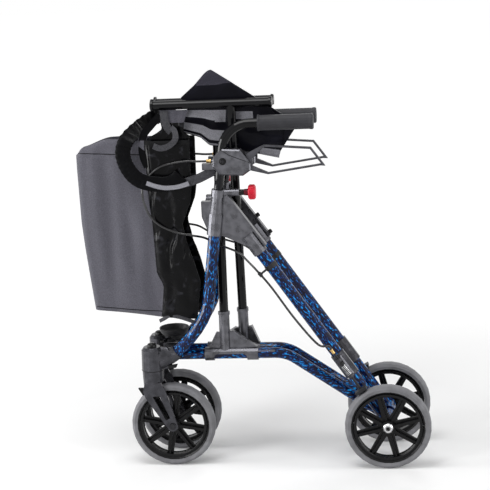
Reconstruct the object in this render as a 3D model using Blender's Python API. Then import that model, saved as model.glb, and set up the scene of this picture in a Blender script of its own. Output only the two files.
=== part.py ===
"""Folding walker, folded side to side as it stands in store.

Metres, +Z up. The user stands at +X and pushes towards -X. Left is -Y, right is +Y.
The origin is on the floor under the middle of the folded walker.
"""
import math

import bmesh
import bpy
from mathutils import Matrix, Vector

# Clearances
GAP = 0.0003
RUN = 0.0004

# Wheels
WHEEL_R = 0.100
TYRE_WIDTH = 0.030
TYRE_DEPTH = 0.0135
RIM_WIDTH = 0.025
RIM_WALL = 0.006
SPOKES = 8
SPOKE_WIDTH = 0.018
SPOKE_PLATE = 0.004
SPOKE_RIB = 0.0032
SPOKE_DEPTH = 0.018
HUB_R = 0.016
FRONT_HUB_WIDTH = 0.0344
REAR_HUB_WIDTH = 0.029
FRONT_AXLE_X = -0.2008
REAR_AXLE_X = 0.3083
AXLE_R = 0.005
REAR_BOLT_R = 0.0118
REAR_BOLT_HEX_R = 0.0046
RIM_SIDES = 32
HUB_SIDES = 12
FRONT_SPOKE_TURN = math.radians(-10)
REAR_SPOKE_TURN = math.radians(14)

# Casters, from the wheel's top upwards
TRAIL = 0.0427
TYRE_ROOM = 0.008
FORK_INNER = 0.0178
FORK_PLATE = 0.0056
FORK_RISE = 0.0850
FORK_HUB_R = 0.0128
HEAD_RISE = 0.1345
HEAD_R = 0.0265
HEAD_HEIGHT = 0.0565
HEAD_SHOULDER = 0.007
CAP_R = 0.0100
CAP_HEIGHT = 0.0075
SOCKET_R = 0.0178
SOCKET_REACH = 0.052
BOLT_HEAD_R = 0.0078
BOLT_HEAD = 0.0038

# Side frames, folded together
FRAME_Y = 0.056
INBOARD = 0.032
REAR_WHEEL_OUT = 0.036
TUBE_R = 0.014
TUBE_SIDES = 14
TUBE_BORE_R = 0.0116
BASE_TUBE_R = 0.0125
BASE_RISE = 0.0275
LEAN = math.radians(7.9)
BRACKET_X = -0.0807
BRACKET_Z = 0.5525
FRONT_TUBE_TOP_Z = 0.5992
FRONT_BEND_Z = 0.3933
BASE_BEND_X = 0.072
BASE_BEND_R = 0.085
DIAGONAL_ANGLE = math.radians(55.6)
DIAGONAL_LENGTH = 0.538
BLOCK_R = 0.0165
BLOCK_END = 0.0165

# Top brackets, with heights above the bracket's lower rim
SLEEVE_WALL = 0.0042
SLEEVE_BOTTOM_Z = 0.5565
SLEEVE_HEIGHT = 0.050
DIAGONAL_SLEEVE_WALL = 0.0034
DIAGONAL_SLEEVE = 0.050
PLATE_HALF = 0.0055
FLANGE_HALF = 0.0095
FLANGE_THICKNESS = 0.0030
SADDLE_LENGTH = 0.0222
SADDLE_CLEAR = 0.0030

# Cross brace and seat rails
BRACE_R = 0.0105
LEFT_BRACE_X = -0.0728
RIGHT_BRACE_X = -0.0317
RAIL_Z = 0.8567
OPEN_RAIL_Z = 0.636
RAIL_R = 0.0105
RAIL_FRONT_X = -0.2186
RAIL_REAR_X = 0.0638
RAIL_CAP = 0.007
FRONT_CAP_R = 0.0155
REAR_CAP_R = 0.0128
FOOT_WALL = 0.0036
FOOT_FRONT_X = -0.1209
FOOT_REAR_X = 0.0062
FOOT_CLAMP = 0.0220
FOOT_SOCKET_R = 0.0126
FOOT_HEIGHT = 0.102
FOOT_SEAT = 0.036
FOOT_PLATE_HALF = 0.0040
FOOT_FLANGE_HALF = 0.0080
PIVOT_R = 0.0040

# Handles
HANDLE_R = 0.011
HANDLE_BOTTOM_Z = 0.412
HANDLE_Z = 0.8132
HANDLE_BEND_R = 0.065
HANDLE_TIP_X = 0.154
GRIP_R = 0.0175
GRIP_FRONT_X = 0.0317
GRIP_LENGTH = 0.127
GRIP_FLANGE_R = 0.0190
GRIP_FLANGE = 0.0055
HOUSING_HALF = 0.015
LEVER_HALF = 0.0036
LEVER_BAR = 0.0048
LEVER_AHEAD = 0.0349
LEVER_DROP = 0.0881
LEVER_ROOT_R = 0.0095
PIN_R = 0.0030
ADJUSTER_R = 0.0032
ADJUSTER_AHEAD = 0.0866
ADJUSTER_RISE = 0.0040
CLIP_AHEAD = 0.0968
CLIP_TOP_DROP = 0.0011
CLIP_BOTTOM_DROP = 0.0158
KNOB_Z = 0.6547
KNOB_R = 0.0175
KNOB_THICKNESS = 0.0165
KNOB_SHAFT_R = 0.0055
KNOB_REACH = {"left": 0.0491, "right": 0.0180}
KNOB_NECK = 0.021
COLLAR_R = 0.0160

# Rear brakes, measured along the diagonal tube from the axle
BRAKE_CENTRE = 0.173
BRAKE_LENGTH = 0.062
BRAKE_SLEEVE_R = 0.0172
SHOE_WIDTH = 0.022
SHOE_GAP = 0.0040
SHOE_SPREAD = 8
ROD_R = 0.0030
ROD_OUT = 0.0300

# Cables
CABLE_R = 0.0026
CABLE_STEPS = 26

# Soft goods
CLOTH = 0.0011
RIDGE_HALF = 0.0038
SIDE_CLOTH = 0.0125
BAG_TIP_X = -0.4083
BAG_CORNER_X = -0.2350
BAG_TOP_Z = 0.764
STRAP_AHEAD = 0.2010
STRAP_RISE = 0.0240
STRAP_R = 0.0735
STRAP_WIDTH = 0.038
STRAP_CLOTH = 0.010
STRAP_OUT = 0.0070
FOLD_START = math.radians(150)
FOLD_TIP = math.radians(129)
FOLD_END = math.radians(107)
FOLD_GAP = 0.014

# Worked out from the sizes above
STEER_X = FRONT_AXLE_X - TRAIL
FORK_BOTTOM_Z = WHEEL_R + FORK_RISE
HEAD_BOTTOM_Z = WHEEL_R + HEAD_RISE
HEAD_TOP_Z = HEAD_BOTTOM_Z + HEAD_HEIGHT
BASE_Z = HEAD_BOTTOM_Z + BASE_RISE
RIM_R = WHEEL_R - TYRE_DEPTH
FOLDED_PIVOT_Y = FRAME_Y - INBOARD
BRACE_RISE = RAIL_Z - BASE_Z
BRACE_LENGTH = math.hypot(BRACE_RISE, 2 * FOLDED_PIVOT_Y)
FOLDED_ANGLE = math.atan2(2 * FOLDED_PIVOT_Y, BRACE_RISE)
CENTRE_Z = BASE_Z + BRACE_RISE / 2
LEVER_PIVOT_X = GRIP_FRONT_X - LEVER_AHEAD
LEVER_PIVOT_Z = HANDLE_Z - LEVER_DROP
CLIP_X = LEVER_PIVOT_X - CLIP_AHEAD
STRAP_X = LEVER_PIVOT_X - STRAP_AHEAD
STRAP_Z = LEVER_PIVOT_Z + STRAP_RISE
LEAN_DIRECTION = Vector((math.sin(LEAN), 0, math.cos(LEAN)))
DIAGONAL_DIRECTION = Vector((-math.cos(DIAGONAL_ANGLE), 0, math.sin(DIAGONAL_ANGLE)))
SIDES = {"left": -1, "right": 1}
BRACE_X = {"left": LEFT_BRACE_X, "right": RIGHT_BRACE_X}

for old in list(bpy.data.objects):
    bpy.data.objects.remove(old, do_unlink=True)


def material(name, colour, roughness, metallic=0.0):
    made = bpy.data.materials.new(name)
    made.use_nodes = True
    shader = made.node_tree.nodes["Principled BSDF"]
    shader.inputs["Base Color"].default_value = (*colour, 1)
    shader.inputs["Roughness"].default_value = roughness
    shader.inputs["Metallic"].default_value = metallic
    return made


BLUE_PAINT = material("blue_paint", (0.01, 0.04, 0.16), 0.18, 0.3)
GREY_CASTING = material("grey_casting", (0.09, 0.09, 0.10), 0.38, 0.6)
BLACK_TUBE = material("black_tube", (0.012, 0.012, 0.014), 0.22, 0.4)
BLACK_PLASTIC = material("black_plastic", (0.018, 0.018, 0.02), 0.4)
GREY_RUBBER = material("grey_rubber", (0.20, 0.20, 0.22), 0.7)
GRIP_RUBBER = material("grip_rubber", (0.03, 0.03, 0.035), 0.6)
STEEL = material("steel", (0.55, 0.55, 0.56), 0.3, 1.0)
RED_PLASTIC = material("red_plastic", (0.75, 0.03, 0.05), 0.35)
GREY_CLOTH = material("grey_cloth", (0.09, 0.09, 0.11), 0.85)
BLACK_CLOTH = material("black_cloth", (0.012, 0.012, 0.015), 0.5)


def lean_point(z, side):
    """Point at height z on the axis of the front tube and the handle tube."""
    x = BRACKET_X + (z - BRACKET_Z) * math.tan(LEAN)
    return Vector((x, side * FRAME_Y, z))


def diagonal_point(distance, side, outboard=0.0):
    """Point on the diagonal tube's axis, at a distance from the rear axle."""
    start = Vector((REAR_AXLE_X, side * (FRAME_Y + outboard), WHEEL_R))
    return start + DIAGONAL_DIRECTION * distance


def rounded(points, radius, steps=6):
    """A path through the points, with each corner turned into an arc."""
    points = [Vector(p) for p in points]
    path = [points[0]]
    for before, corner, after in zip(points, points[1:], points[2:]):
        into = (before - corner).normalized()
        out = (after - corner).normalized()
        half = into.angle(out) / 2
        reach = radius / math.tan(half)
        centre = corner + (into + out).normalized() * (radius / math.sin(half))
        start = (corner + into * reach - centre).normalized()
        end = (corner + out * reach - centre).normalized()
        for i in range(steps + 1):
            path.append(centre + start.slerp(end, i / steps) * radius)
    path.append(points[-1])
    return path


def bezier(start, lead, back, end, steps):
    """A cubic curve from start to end, with its two handle points."""
    path = []
    for i in range(steps + 1):
        t = i / steps
        path.append(start * (1 - t) ** 3 + lead * 3 * t * (1 - t) ** 2
                    + back * 3 * t * t * (1 - t) + end * t ** 3)
    return path


def smooth_route(points, count):
    """A smooth curve through hand-picked points, evenly spaced in its own parameter."""
    points = [Vector(p) for p in points]
    padded = [2 * points[0] - points[1]] + points + [2 * points[-1] - points[-2]]
    spans = len(points) - 1
    path = []
    for i in range(count + 1):
        at = min(i / count * spans, spans - 1e-6)
        k = int(at)
        t = at - k
        a, b, c, d = padded[k:k + 4]
        path.append(0.5 * (2 * b + (c - a) * t + (2 * a - 5 * b + 4 * c - d) * t * t
                           + (3 * b - a - 3 * c + d) * t ** 3))
    return path


def sweep(path, radius, sides=TUBE_SIDES):
    """A closed tube along a path that lies near an XZ plane."""
    bm = bmesh.new()
    rings = []
    across = Vector((0, 1, 0))
    for i, point in enumerate(path):
        ahead = path[min(i + 1, len(path) - 1)] - path[max(i - 1, 0)]
        ahead.normalize()
        side_axis = (across - ahead * across.dot(ahead)).normalized()
        up_axis = side_axis.cross(ahead)
        ring = []
        for k in range(sides):
            turn = 2 * math.pi * k / sides
            offset = side_axis * math.cos(turn) * radius + up_axis * math.sin(turn) * radius
            ring.append(bm.verts.new(point + offset))
        rings.append(ring)
    for low, high in zip(rings, rings[1:]):
        for k in range(sides):
            n = (k + 1) % sides
            bm.faces.new((low[k], low[n], high[n], high[k]))
    bm.faces.new(rings[0][::-1])
    bm.faces.new(rings[-1])
    return bm


def rod(start, end, radius, sides=TUBE_SIDES):
    """A round bar between two points."""
    start, end = Vector(start), Vector(end)
    axis = end - start
    bm = bmesh.new()
    bmesh.ops.create_cone(bm, cap_ends=True, segments=sides, radius1=radius, radius2=radius,
                          depth=axis.length)
    turn = Vector((0, 0, 1)).rotation_difference(axis).to_matrix().to_4x4()
    bmesh.ops.transform(bm, matrix=Matrix.Translation((start + end) / 2) @ turn, verts=bm.verts)
    return bm


def turned(profile, centre, axis, sides=24, turn=0.0):
    """A closed ring or a solid of revolution: profile points are (radius, distance along the axis)."""
    axis = Vector(axis).normalized()
    across = axis.orthogonal().normalized()
    if abs(axis.y) > 0.9:
        across = Vector((1, 0, 0))
    third = axis.cross(across)
    centre = Vector(centre)
    bm = bmesh.new()
    rings = []
    for radius, along in profile:
        if radius < 1e-6:
            rings.append([bm.verts.new(centre + axis * along)])
            continue
        ring = []
        for k in range(sides):
            angle = 2 * math.pi * k / sides + turn
            offset = across * math.cos(angle) + third * math.sin(angle)
            ring.append(bm.verts.new(centre + axis * along + offset * radius))
        rings.append(ring)
    closed = len(rings[0]) > 1
    pairs = list(zip(rings, rings[1:] + [rings[0]])) if closed else list(zip(rings, rings[1:]))
    for low, high in pairs:
        for k in range(sides):
            n = (k + 1) % sides
            if len(low) == 1:
                bm.faces.new((low[0], high[n], high[k]))
            elif len(high) == 1:
                bm.faces.new((low[k], low[n], high[0]))
            else:
                bm.faces.new((low[k], low[n], high[n], high[k]))
    return bm


def prism(outline, y_low, y_high):
    """A plate with an outline of (x, z) points, between two values of Y."""
    bm = bmesh.new()
    lows = [bm.verts.new((x, y_low, z)) for x, z in outline]
    highs = [bm.verts.new((x, y_high, z)) for x, z in outline]
    count = len(outline)
    for k in range(count):
        n = (k + 1) % count
        bm.faces.new((lows[k], lows[n], highs[n], highs[k]))
    bm.faces.new(lows[::-1])
    bm.faces.new(highs)
    return bm


def side_prism(outline, side, inner, outer):
    """A plate between two distances from the middle plane."""
    return prism(outline, *sorted((side * inner, side * outer)))


def strip(start, end, thickness):
    """Outline of a narrow bar between two (x, z) points."""
    start, end = Vector(start), Vector(end)
    across = (end - start).orthogonal().normalized() * thickness / 2
    return [tuple(p) for p in (start + across, end + across, end - across, start - across)]


def offset(origin, points):
    """(x, z) points given from an origin."""
    return [(origin[0] + x, origin[1] + z) for x, z in points]


def arc(centre, radius, start, end, steps):
    """(x, z) points of an arc, angles in degrees from +X towards +Z."""
    return [(centre[0] + radius * math.cos(math.radians(start + (end - start) * i / steps)),
             centre[1] + radius * math.sin(math.radians(start + (end - start) * i / steps)))
            for i in range(steps + 1)]


def as_mesh(bm, name):
    bmesh.ops.recalc_face_normals(bm, faces=bm.faces)
    mesh = bpy.data.meshes.new(name)
    bm.to_mesh(mesh)
    bm.free()
    return mesh


def scratch(bm):
    made = bpy.data.objects.new("scratch", as_mesh(bm, "scratch"))
    bpy.context.scene.collection.objects.link(made)
    return made


def piece(name, parts, paint, cuts=(), late=(), late_cuts=(), pivot=None, smooth=35):
    """One object: the union of parts, less cuts, plus late, less late_cuts, with its origin on pivot."""
    body = bpy.data.objects.new(name, as_mesh(parts[0], name))
    bpy.context.scene.collection.objects.link(body)
    tools = [("UNION", scratch(bm)) for bm in parts[1:]]
    tools += [("DIFFERENCE", scratch(bm)) for bm in cuts]
    tools += [("UNION", scratch(bm)) for bm in late]
    tools += [("DIFFERENCE", scratch(bm)) for bm in late_cuts]
    for operation, tool in tools:
        step = body.modifiers.new(operation.lower(), "BOOLEAN")
        step.operation = operation
        step.solver = "EXACT"
        step.object = tool
    if tools:
        bpy.context.view_layer.update()
        shaped = body.evaluated_get(bpy.context.evaluated_depsgraph_get())
        mesh = bpy.data.meshes.new_from_object(shaped)
        body.modifiers.clear()
        body.data = mesh
        for _, tool in tools:
            bpy.data.objects.remove(tool, do_unlink=True)
    bm = bmesh.new()
    bm.from_mesh(body.data)
    bmesh.ops.remove_doubles(bm, verts=bm.verts, dist=0.00002)
    bmesh.ops.dissolve_limit(bm, angle_limit=0.002, verts=bm.verts, edges=bm.edges)
    bmesh.ops.triangulate(bm, faces=[f for f in bm.faces if len(f.verts) > 4])
    bm.to_mesh(body.data)
    bm.free()
    if pivot is not None:
        body.data.transform(Matrix.Translation(-Vector(pivot)))
        body.location = pivot
    body.data.materials.clear()
    body.data.materials.append(paint)
    body.data.shade_smooth()
    body.data.set_sharp_from_angle(angle=math.radians(smooth))
    return body


def cord(name, path, radius, paint):
    """A round cord along a path, as a curve with a bevel."""
    curve = bpy.data.curves.new(name, "CURVE")
    curve.dimensions = "3D"
    curve.bevel_depth = radius
    curve.bevel_resolution = 2
    curve.use_fill_caps = True
    spline = curve.splines.new("POLY")
    spline.points.add(len(path) - 1)
    for point, place in zip(spline.points, path):
        point.co = (*place, 1)
    curve.materials.append(paint)
    made = bpy.data.objects.new(name, curve)
    bpy.context.scene.collection.objects.link(made)
    return made


def wheel(prefix, label, centre, hub_width, spoke_turn):
    """Tyre and eight-spoked rim on an axle along Y."""
    half = TYRE_WIDTH / 2
    flat = 1 / math.cos(math.pi / RIM_SIDES)
    tyre = [(RIM_R, -half + 0.0015), (WHEEL_R - 0.0065, -half), ((WHEEL_R - 0.0018) * flat, -half + 0.0030),
            (WHEEL_R * flat, -half + 0.0095)]
    tyre += [(radius, -along) for radius, along in reversed(tyre)]
    piece(f"{prefix}_tyre_{label}", [turned(tyre, centre, (0, 1, 0), RIM_SIDES, math.pi / RIM_SIDES)],
          GREY_RUBBER, pivot=centre)
    inside = RIM_R - RIM_WALL
    edge = RIM_WIDTH / 2
    ring = [(inside, -edge + 0.003), (RIM_R - GAP, -edge), (RIM_R - GAP, edge), (inside, edge - 0.003)]
    hub = [(AXLE_R + RUN, -hub_width / 2), (HUB_R, -hub_width / 2), (HUB_R, hub_width / 2),
           (AXLE_R + RUN, hub_width / 2)]
    parts = [turned(ring, centre, (0, 1, 0), RIM_SIDES, math.pi / RIM_SIDES),
             turned(hub, centre, (0, 1, 0), HUB_SIDES)]
    for k in range(SPOKES):
        parts.append(spoke(centre, inside + RIM_WALL / 3, spoke_turn + 2 * math.pi * k / SPOKES))
    piece(f"{prefix}_rim_{label}", parts, BLACK_PLASTIC, pivot=centre)


def spoke(centre, reach, turn):
    """A spoke with a flat plate and a rib down its middle, on both faces."""
    bm = bmesh.new()
    ends = []
    for radius, width, depth in ((HUB_R - 0.004, SPOKE_WIDTH, SPOKE_DEPTH * 1.1),
                                 (reach, SPOKE_WIDTH * 0.8, SPOKE_DEPTH)):
        w, r, p, d = width / 2, SPOKE_RIB / 2, SPOKE_PLATE / 2, depth / 2
        section = [(w, -p), (w, p), (r, p), (r, d), (-r, d), (-r, p), (-w, p), (-w, -p), (-r, -p), (-r, -d),
                   (r, -d), (r, -p)]
        ends.append([bm.verts.new((radius, y, t)) for t, y in section])
    for k in range(len(ends[0])):
        n = (k + 1) % len(ends[0])
        bm.faces.new((ends[0][k], ends[0][n], ends[1][n], ends[1][k]))
    bm.faces.new(ends[0][::-1])
    bm.faces.new(ends[1])
    place = Matrix.Translation(centre) @ Matrix.Rotation(-turn, 4, "Y")
    bmesh.ops.transform(bm, matrix=place, verts=bm.verts)
    return bm


def front_tube_path(side):
    """Out of the caster head, then up along the lean to the top bracket."""
    y = side * FRAME_Y
    start = Vector((STEER_X + 0.031, y, BASE_Z - 0.0025))
    bend = lean_point(FRONT_BEND_Z, side)
    lead = start + Vector((0.031, 0, 0.0105))
    back = bend - LEAN_DIRECTION * 0.050
    return bezier(start, lead, back, bend, 8) + [lean_point(FRONT_TUBE_TOP_Z, side)]


def base_tube_path(side):
    y = side * FOLDED_PIVOT_Y
    start = (STEER_X + 0.031, y, BASE_Z)
    return rounded([start, (BASE_BEND_X, y, BASE_Z), (REAR_AXLE_X, y, WHEEL_R)], BASE_BEND_R)


def handle_path(side):
    y = side * FRAME_Y
    corner = lean_point(HANDLE_Z, side)
    return rounded([lean_point(HANDLE_BOTTOM_Z, side), corner, (HANDLE_TIP_X, y, HANDLE_Z)], HANDLE_BEND_R, 9)


def side_frame(label, side):
    """The blue tubes, with the diagonal tube's axle block."""
    bore = rod(lean_point(FRONT_BEND_Z, side), lean_point(FRONT_TUBE_TOP_Z + 0.02, side), TUBE_BORE_R)
    piece(f"front_tube_{label}", [sweep(front_tube_path(side), TUBE_R, TUBE_SIDES)], BLUE_PAINT, [bore])

    axle = Vector((REAR_AXLE_X, 0, WHEEL_R))
    inner = Vector((0, side * (FOLDED_PIVOT_Y - BLOCK_END + 0.002), 0))
    outer = Vector((0, side * (FRAME_Y + BLOCK_END), 0))
    block_space = rod(axle, axle + outer * 1.2, BLOCK_R + GAP)
    piece(f"base_tube_{label}", [sweep(base_tube_path(side), BASE_TUBE_R, TUBE_SIDES)], BLUE_PAINT,
          [block_space])

    tube = rod(diagonal_point(0, side), diagonal_point(DIAGONAL_LENGTH, side), TUBE_R)
    block = rod(axle + inner, axle + outer, BLOCK_R)
    axle_hole = rod(axle, axle + outer * 1.2, AXLE_R + RUN, 16)
    piece(f"diagonal_tube_{label}", [tube, block], BLUE_PAINT, [axle_hole])


def caster_head(label, side):
    """Casting that holds both tubes and the steering stem, with its cap bolt."""
    y = side * FRAME_Y
    inner_y = side * FOLDED_PIVOT_Y
    barrel = turned([(0, HEAD_BOTTOM_Z), (HEAD_R, HEAD_BOTTOM_Z),
                     (HEAD_R - 0.0015, HEAD_TOP_Z - HEAD_SHOULDER), (HEAD_R - HEAD_SHOULDER, HEAD_TOP_Z),
                     (0, HEAD_TOP_Z)], (STEER_X, y, 0), (0, 0, 1), 20)
    cap = turned([(0, HEAD_TOP_Z - 0.004), (CAP_R, HEAD_TOP_Z - 0.004),
                  (CAP_R, HEAD_TOP_Z + CAP_HEIGHT * 0.5), (CAP_R * 0.7, HEAD_TOP_Z + CAP_HEIGHT),
                  (0, HEAD_TOP_Z + CAP_HEIGHT)], (STEER_X, y, 0), (0, 0, 1), 12)
    end_x = STEER_X + SOCKET_REACH
    front, base = front_tube_path(side), base_tube_path(side)
    outer_socket = sweep([front[0] - (front[1] - front[0]).normalized() * 0.014] + front[:3], SOCKET_R)
    inner_socket = rod((STEER_X + 0.015, inner_y, BASE_Z), (end_x, inner_y, BASE_Z),
                       BASE_TUBE_R + SOCKET_R - TUBE_R)
    web = side_prism([(STEER_X + 0.008, BASE_Z - 0.0140), (end_x - 0.010, BASE_Z - 0.0140),
                      (end_x - 0.004, BASE_Z + 0.0140), (STEER_X + 0.008, BASE_Z + 0.0140)],
                     side, FOLDED_PIVOT_Y, FRAME_Y)
    gusset = side_prism([(STEER_X + 0.010, HEAD_BOTTOM_Z + 0.002), (end_x - 0.010, HEAD_BOTTOM_Z + 0.004),
                         (end_x - 0.004, BASE_Z - 0.010), (STEER_X + 0.010, BASE_Z)],
                        side, FRAME_Y - 0.006, FRAME_Y + 0.006)
    cuts = [sweep([path[0] - (path[1] - path[0]).normalized() * GAP] + path, radius + GAP)
            for path, radius in ((front, TUBE_R), (base, BASE_TUBE_R))]
    piece(f"caster_head_{label}", [barrel, cap, outer_socket, inner_socket, web, gusset], GREY_CASTING, cuts)


def caster_fork(label, side):
    """Swivelling fork: a round cup over the tyre, and a slotted blade on each side of it."""
    y = side * FRAME_Y
    hub = (FRONT_AXLE_X, WHEEL_R)
    reach = FORK_INNER + FORK_PLATE
    low = FORK_BOTTOM_Z
    cup = turned([(0, low), (HEAD_R - 0.0025, low), (HEAD_R - 0.0010, HEAD_BOTTOM_Z - RUN - 0.014),
                  (HEAD_R - 0.0010, HEAD_BOTTOM_Z - RUN), (0, HEAD_BOTTOM_Z - RUN)], (STEER_X, y, 0),
                 (0, 0, 1), 20)
    outline = [(STEER_X - 0.0185, low - 0.014), (STEER_X - 0.0235, low + 0.002),
               (STEER_X - 0.0185, low + 0.022), (STEER_X + 0.0200, low + 0.022),
               (STEER_X + 0.0290, low + 0.006), (STEER_X + 0.0330, low - 0.006)]
    outline += arc(hub, FORK_HUB_R, 12, -160, 9)
    slot = [(STEER_X - 0.0010, low - 0.0115), (STEER_X + 0.0150, low - 0.0095),
            (hub[0] - 0.0050, hub[1] + 0.0205), (hub[0] - 0.0150, hub[1] + 0.0150)]
    parts = [cup]
    cuts = [rod((hub[0], y - FORK_INNER, hub[1]), (hub[0], y + FORK_INNER, hub[1]), WHEEL_R + TYRE_ROOM, 40)]
    for way in (-1, 1):
        inner, outer = y + way * FORK_INNER, y + way * reach
        parts.append(prism(outline, *sorted((inner - way * 0.001, outer))))
        cuts.append(prism(slot, *sorted((inner - way * 0.002, outer + way * 0.001))))
    cuts.append(rod((hub[0], y - reach * 1.2, hub[1]), (hub[0], y + reach * 1.2, hub[1]), AXLE_R + RUN, 16))
    piece(f"caster_fork_{label}", parts, GREY_CASTING, cuts, pivot=(STEER_X, y, 0))

    head = reach + GAP
    profile = [(0, -head - BOLT_HEAD), (BOLT_HEAD_R, -head - BOLT_HEAD), (BOLT_HEAD_R, -head),
               (AXLE_R, -head), (AXLE_R, head), (BOLT_HEAD_R, head), (BOLT_HEAD_R, head + BOLT_HEAD),
               (0, head + BOLT_HEAD)]
    piece(f"front_axle_{label}", [turned(profile, (hub[0], y, hub[1]), (0, 1, 0), 12)], STEEL)


def rear_axle(label, side):
    """Shouldered axle bolt from the axle block out through the wheel hub."""
    shoulder = FRAME_Y + BLOCK_END + GAP
    hub_in = FRAME_Y + REAR_WHEEL_OUT - REAR_HUB_WIDTH / 2 - GAP
    hub_out = FRAME_Y + REAR_WHEEL_OUT + REAR_HUB_WIDTH / 2 + GAP
    profile = [(0, FRAME_Y), (AXLE_R, FRAME_Y), (AXLE_R, shoulder), (0.0095, shoulder), (0.0095, hub_in),
               (AXLE_R, hub_in), (AXLE_R, hub_out), (REAR_BOLT_R, hub_out), (REAR_BOLT_R, hub_out + 0.0030),
               (REAR_BOLT_R - 0.0025, hub_out + 0.0058), (0, hub_out + 0.0058)]
    bolt = turned(profile, (REAR_AXLE_X, 0, WHEEL_R), (0, side, 0), 14)
    socket = rod((REAR_AXLE_X, side * (hub_out + 0.0015), WHEEL_R),
                 (REAR_AXLE_X, side * (hub_out + 0.02), WHEEL_R), REAR_BOLT_HEX_R, 6)
    piece(f"rear_axle_{label}", [bolt], STEEL, [socket])


def knob_axis(label, side):
    """Unit direction that a height knob points in, and the middle of its collar."""
    out = Vector((1, 0, 0)) if label == "left" else Vector((0, side, 0))
    return out, lean_point(KNOB_Z, side)


def top_bracket(label, side):
    """Casting that joins the front and diagonal tubes, carries the rail saddle and clamps the handle tube."""
    inboard = FRAME_Y - INBOARD
    out, collar_at = knob_axis(label, side)
    sleeve_top = SLEEVE_BOTTOM_Z + SLEEVE_HEIGHT
    sleeve = rod(lean_point(SLEEVE_BOTTOM_Z, side), lean_point(sleeve_top, side), TUBE_R + SLEEVE_WALL)
    neck = turned([(0, -0.001), (TUBE_R + SLEEVE_WALL - 0.0012, -0.001),
                   (COLLAR_R - 0.0012, (KNOB_Z - sleeve_top) / math.cos(LEAN)),
                   (0, (KNOB_Z - sleeve_top) / math.cos(LEAN))], lean_point(sleeve_top, side),
                  LEAN_DIRECTION, 16)
    collar = rod(lean_point(KNOB_Z - 0.009, side), lean_point(KNOB_Z + 0.008, side), COLLAR_R)
    knob_seat = collar_at + out * KNOB_REACH[label]
    boss = rod(collar_at + out * 0.008, knob_seat - out * GAP, 0.0088, 14)
    diagonal_top = diagonal_point(DIAGONAL_LENGTH + 0.012, side)
    diagonal_low = diagonal_point(DIAGONAL_LENGTH + 0.012 - DIAGONAL_SLEEVE, side)
    diagonal_sleeve = rod(diagonal_low, diagonal_top, TUBE_R + DIAGONAL_SLEEVE_WALL)
    rim = lean_point(SLEEVE_BOTTOM_Z, side)
    corner = (diagonal_low.x + 0.013, diagonal_low.z + 0.018)
    head = (collar_at.x + 0.016, KNOB_Z + 0.002)
    plate = side_prism([(collar_at.x - 0.006, KNOB_Z), head, corner,
                        (diagonal_low.x, diagonal_low.z + 0.002), (rim.x + 0.015, SLEEVE_BOTTOM_Z),
                        (rim.x - 0.015, SLEEVE_BOTTOM_Z + 0.002), (rim.x - 0.0185, SLEEVE_BOTTOM_Z + 0.054)],
                       side, FRAME_Y - PLATE_HALF, FRAME_Y + PLATE_HALF)
    flange = side_prism(strip(head, corner, FLANGE_THICKNESS), side, FRAME_Y - FLANGE_HALF,
                        FRAME_Y + FLANGE_HALF)
    saddle_x = min(BRACE_X.values()) - BRACE_R - SADDLE_CLEAR - SADDLE_LENGTH
    saddle = side_prism([(saddle_x, OPEN_RAIL_Z - 0.002), (saddle_x + SADDLE_LENGTH, OPEN_RAIL_Z - 0.002),
                         (saddle_x + SADDLE_LENGTH, SLEEVE_BOTTOM_Z + 0.010),
                         (saddle_x + 0.012, SLEEVE_BOTTOM_Z + 0.010), (saddle_x, SLEEVE_BOTTOM_Z + 0.042)],
                        side, inboard - 0.003, FRAME_Y - 0.004)
    lowest = lean_point(SLEEVE_BOTTOM_Z - 0.05, side)
    cuts = [rod(lowest, lean_point(FRONT_TUBE_TOP_Z + GAP, side), TUBE_R + GAP),
            rod(lowest, lean_point(KNOB_Z + 0.05, side), HANDLE_R + RUN),
            rod(diagonal_point(DIAGONAL_LENGTH / 2, side), diagonal_point(DIAGONAL_LENGTH + GAP, side),
                TUBE_R + GAP),
            rod((saddle_x - 0.01, side * inboard, OPEN_RAIL_Z),
                (saddle_x + 0.04, side * inboard, OPEN_RAIL_Z), RAIL_R + 0.0006),
            rod(knob_seat - out * 0.013, knob_seat + out * 0.02, KNOB_SHAFT_R + RUN, 16)]
    piece(f"top_bracket_{label}", [sleeve, neck, collar, boss, diagonal_sleeve, plate, flange, saddle],
          GREY_CASTING, cuts)


def height_knob(label, side):
    """Screw knob that clamps the handle tube: a grooved disc on a shaft."""
    out, collar_at = knob_axis(label, side)
    seat_at = collar_at + out * KNOB_REACH[label]
    shaft = min(0.012, KNOB_REACH[label] - COLLAR_R + 0.002)
    profile = [(0, -shaft), (KNOB_SHAFT_R, -shaft), (KNOB_SHAFT_R, KNOB_NECK), (KNOB_R - 0.003, KNOB_NECK),
               (KNOB_R, KNOB_NECK + 0.003), (KNOB_R, KNOB_NECK + KNOB_THICKNESS - 0.003),
               (KNOB_R - 0.003, KNOB_NECK + KNOB_THICKNESS), (0, KNOB_NECK + KNOB_THICKNESS)]
    disc = turned(profile, seat_at, out, 20)
    grooves = []
    across = Vector((0, 0, 1))
    for k in range(6):
        turn = 2 * math.pi * k / 6
        at = seat_at + out * (KNOB_NECK - 0.002)
        at += (across * math.cos(turn) + out.cross(across) * math.sin(turn)) * (KNOB_R + 0.0030)
        grooves.append(rod(at, at + out * (KNOB_THICKNESS + 0.01), 0.0050, 6))
    piece(f"height_knob_{label}", [disc], RED_PLASTIC, grooves, pivot=seat_at)


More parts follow.
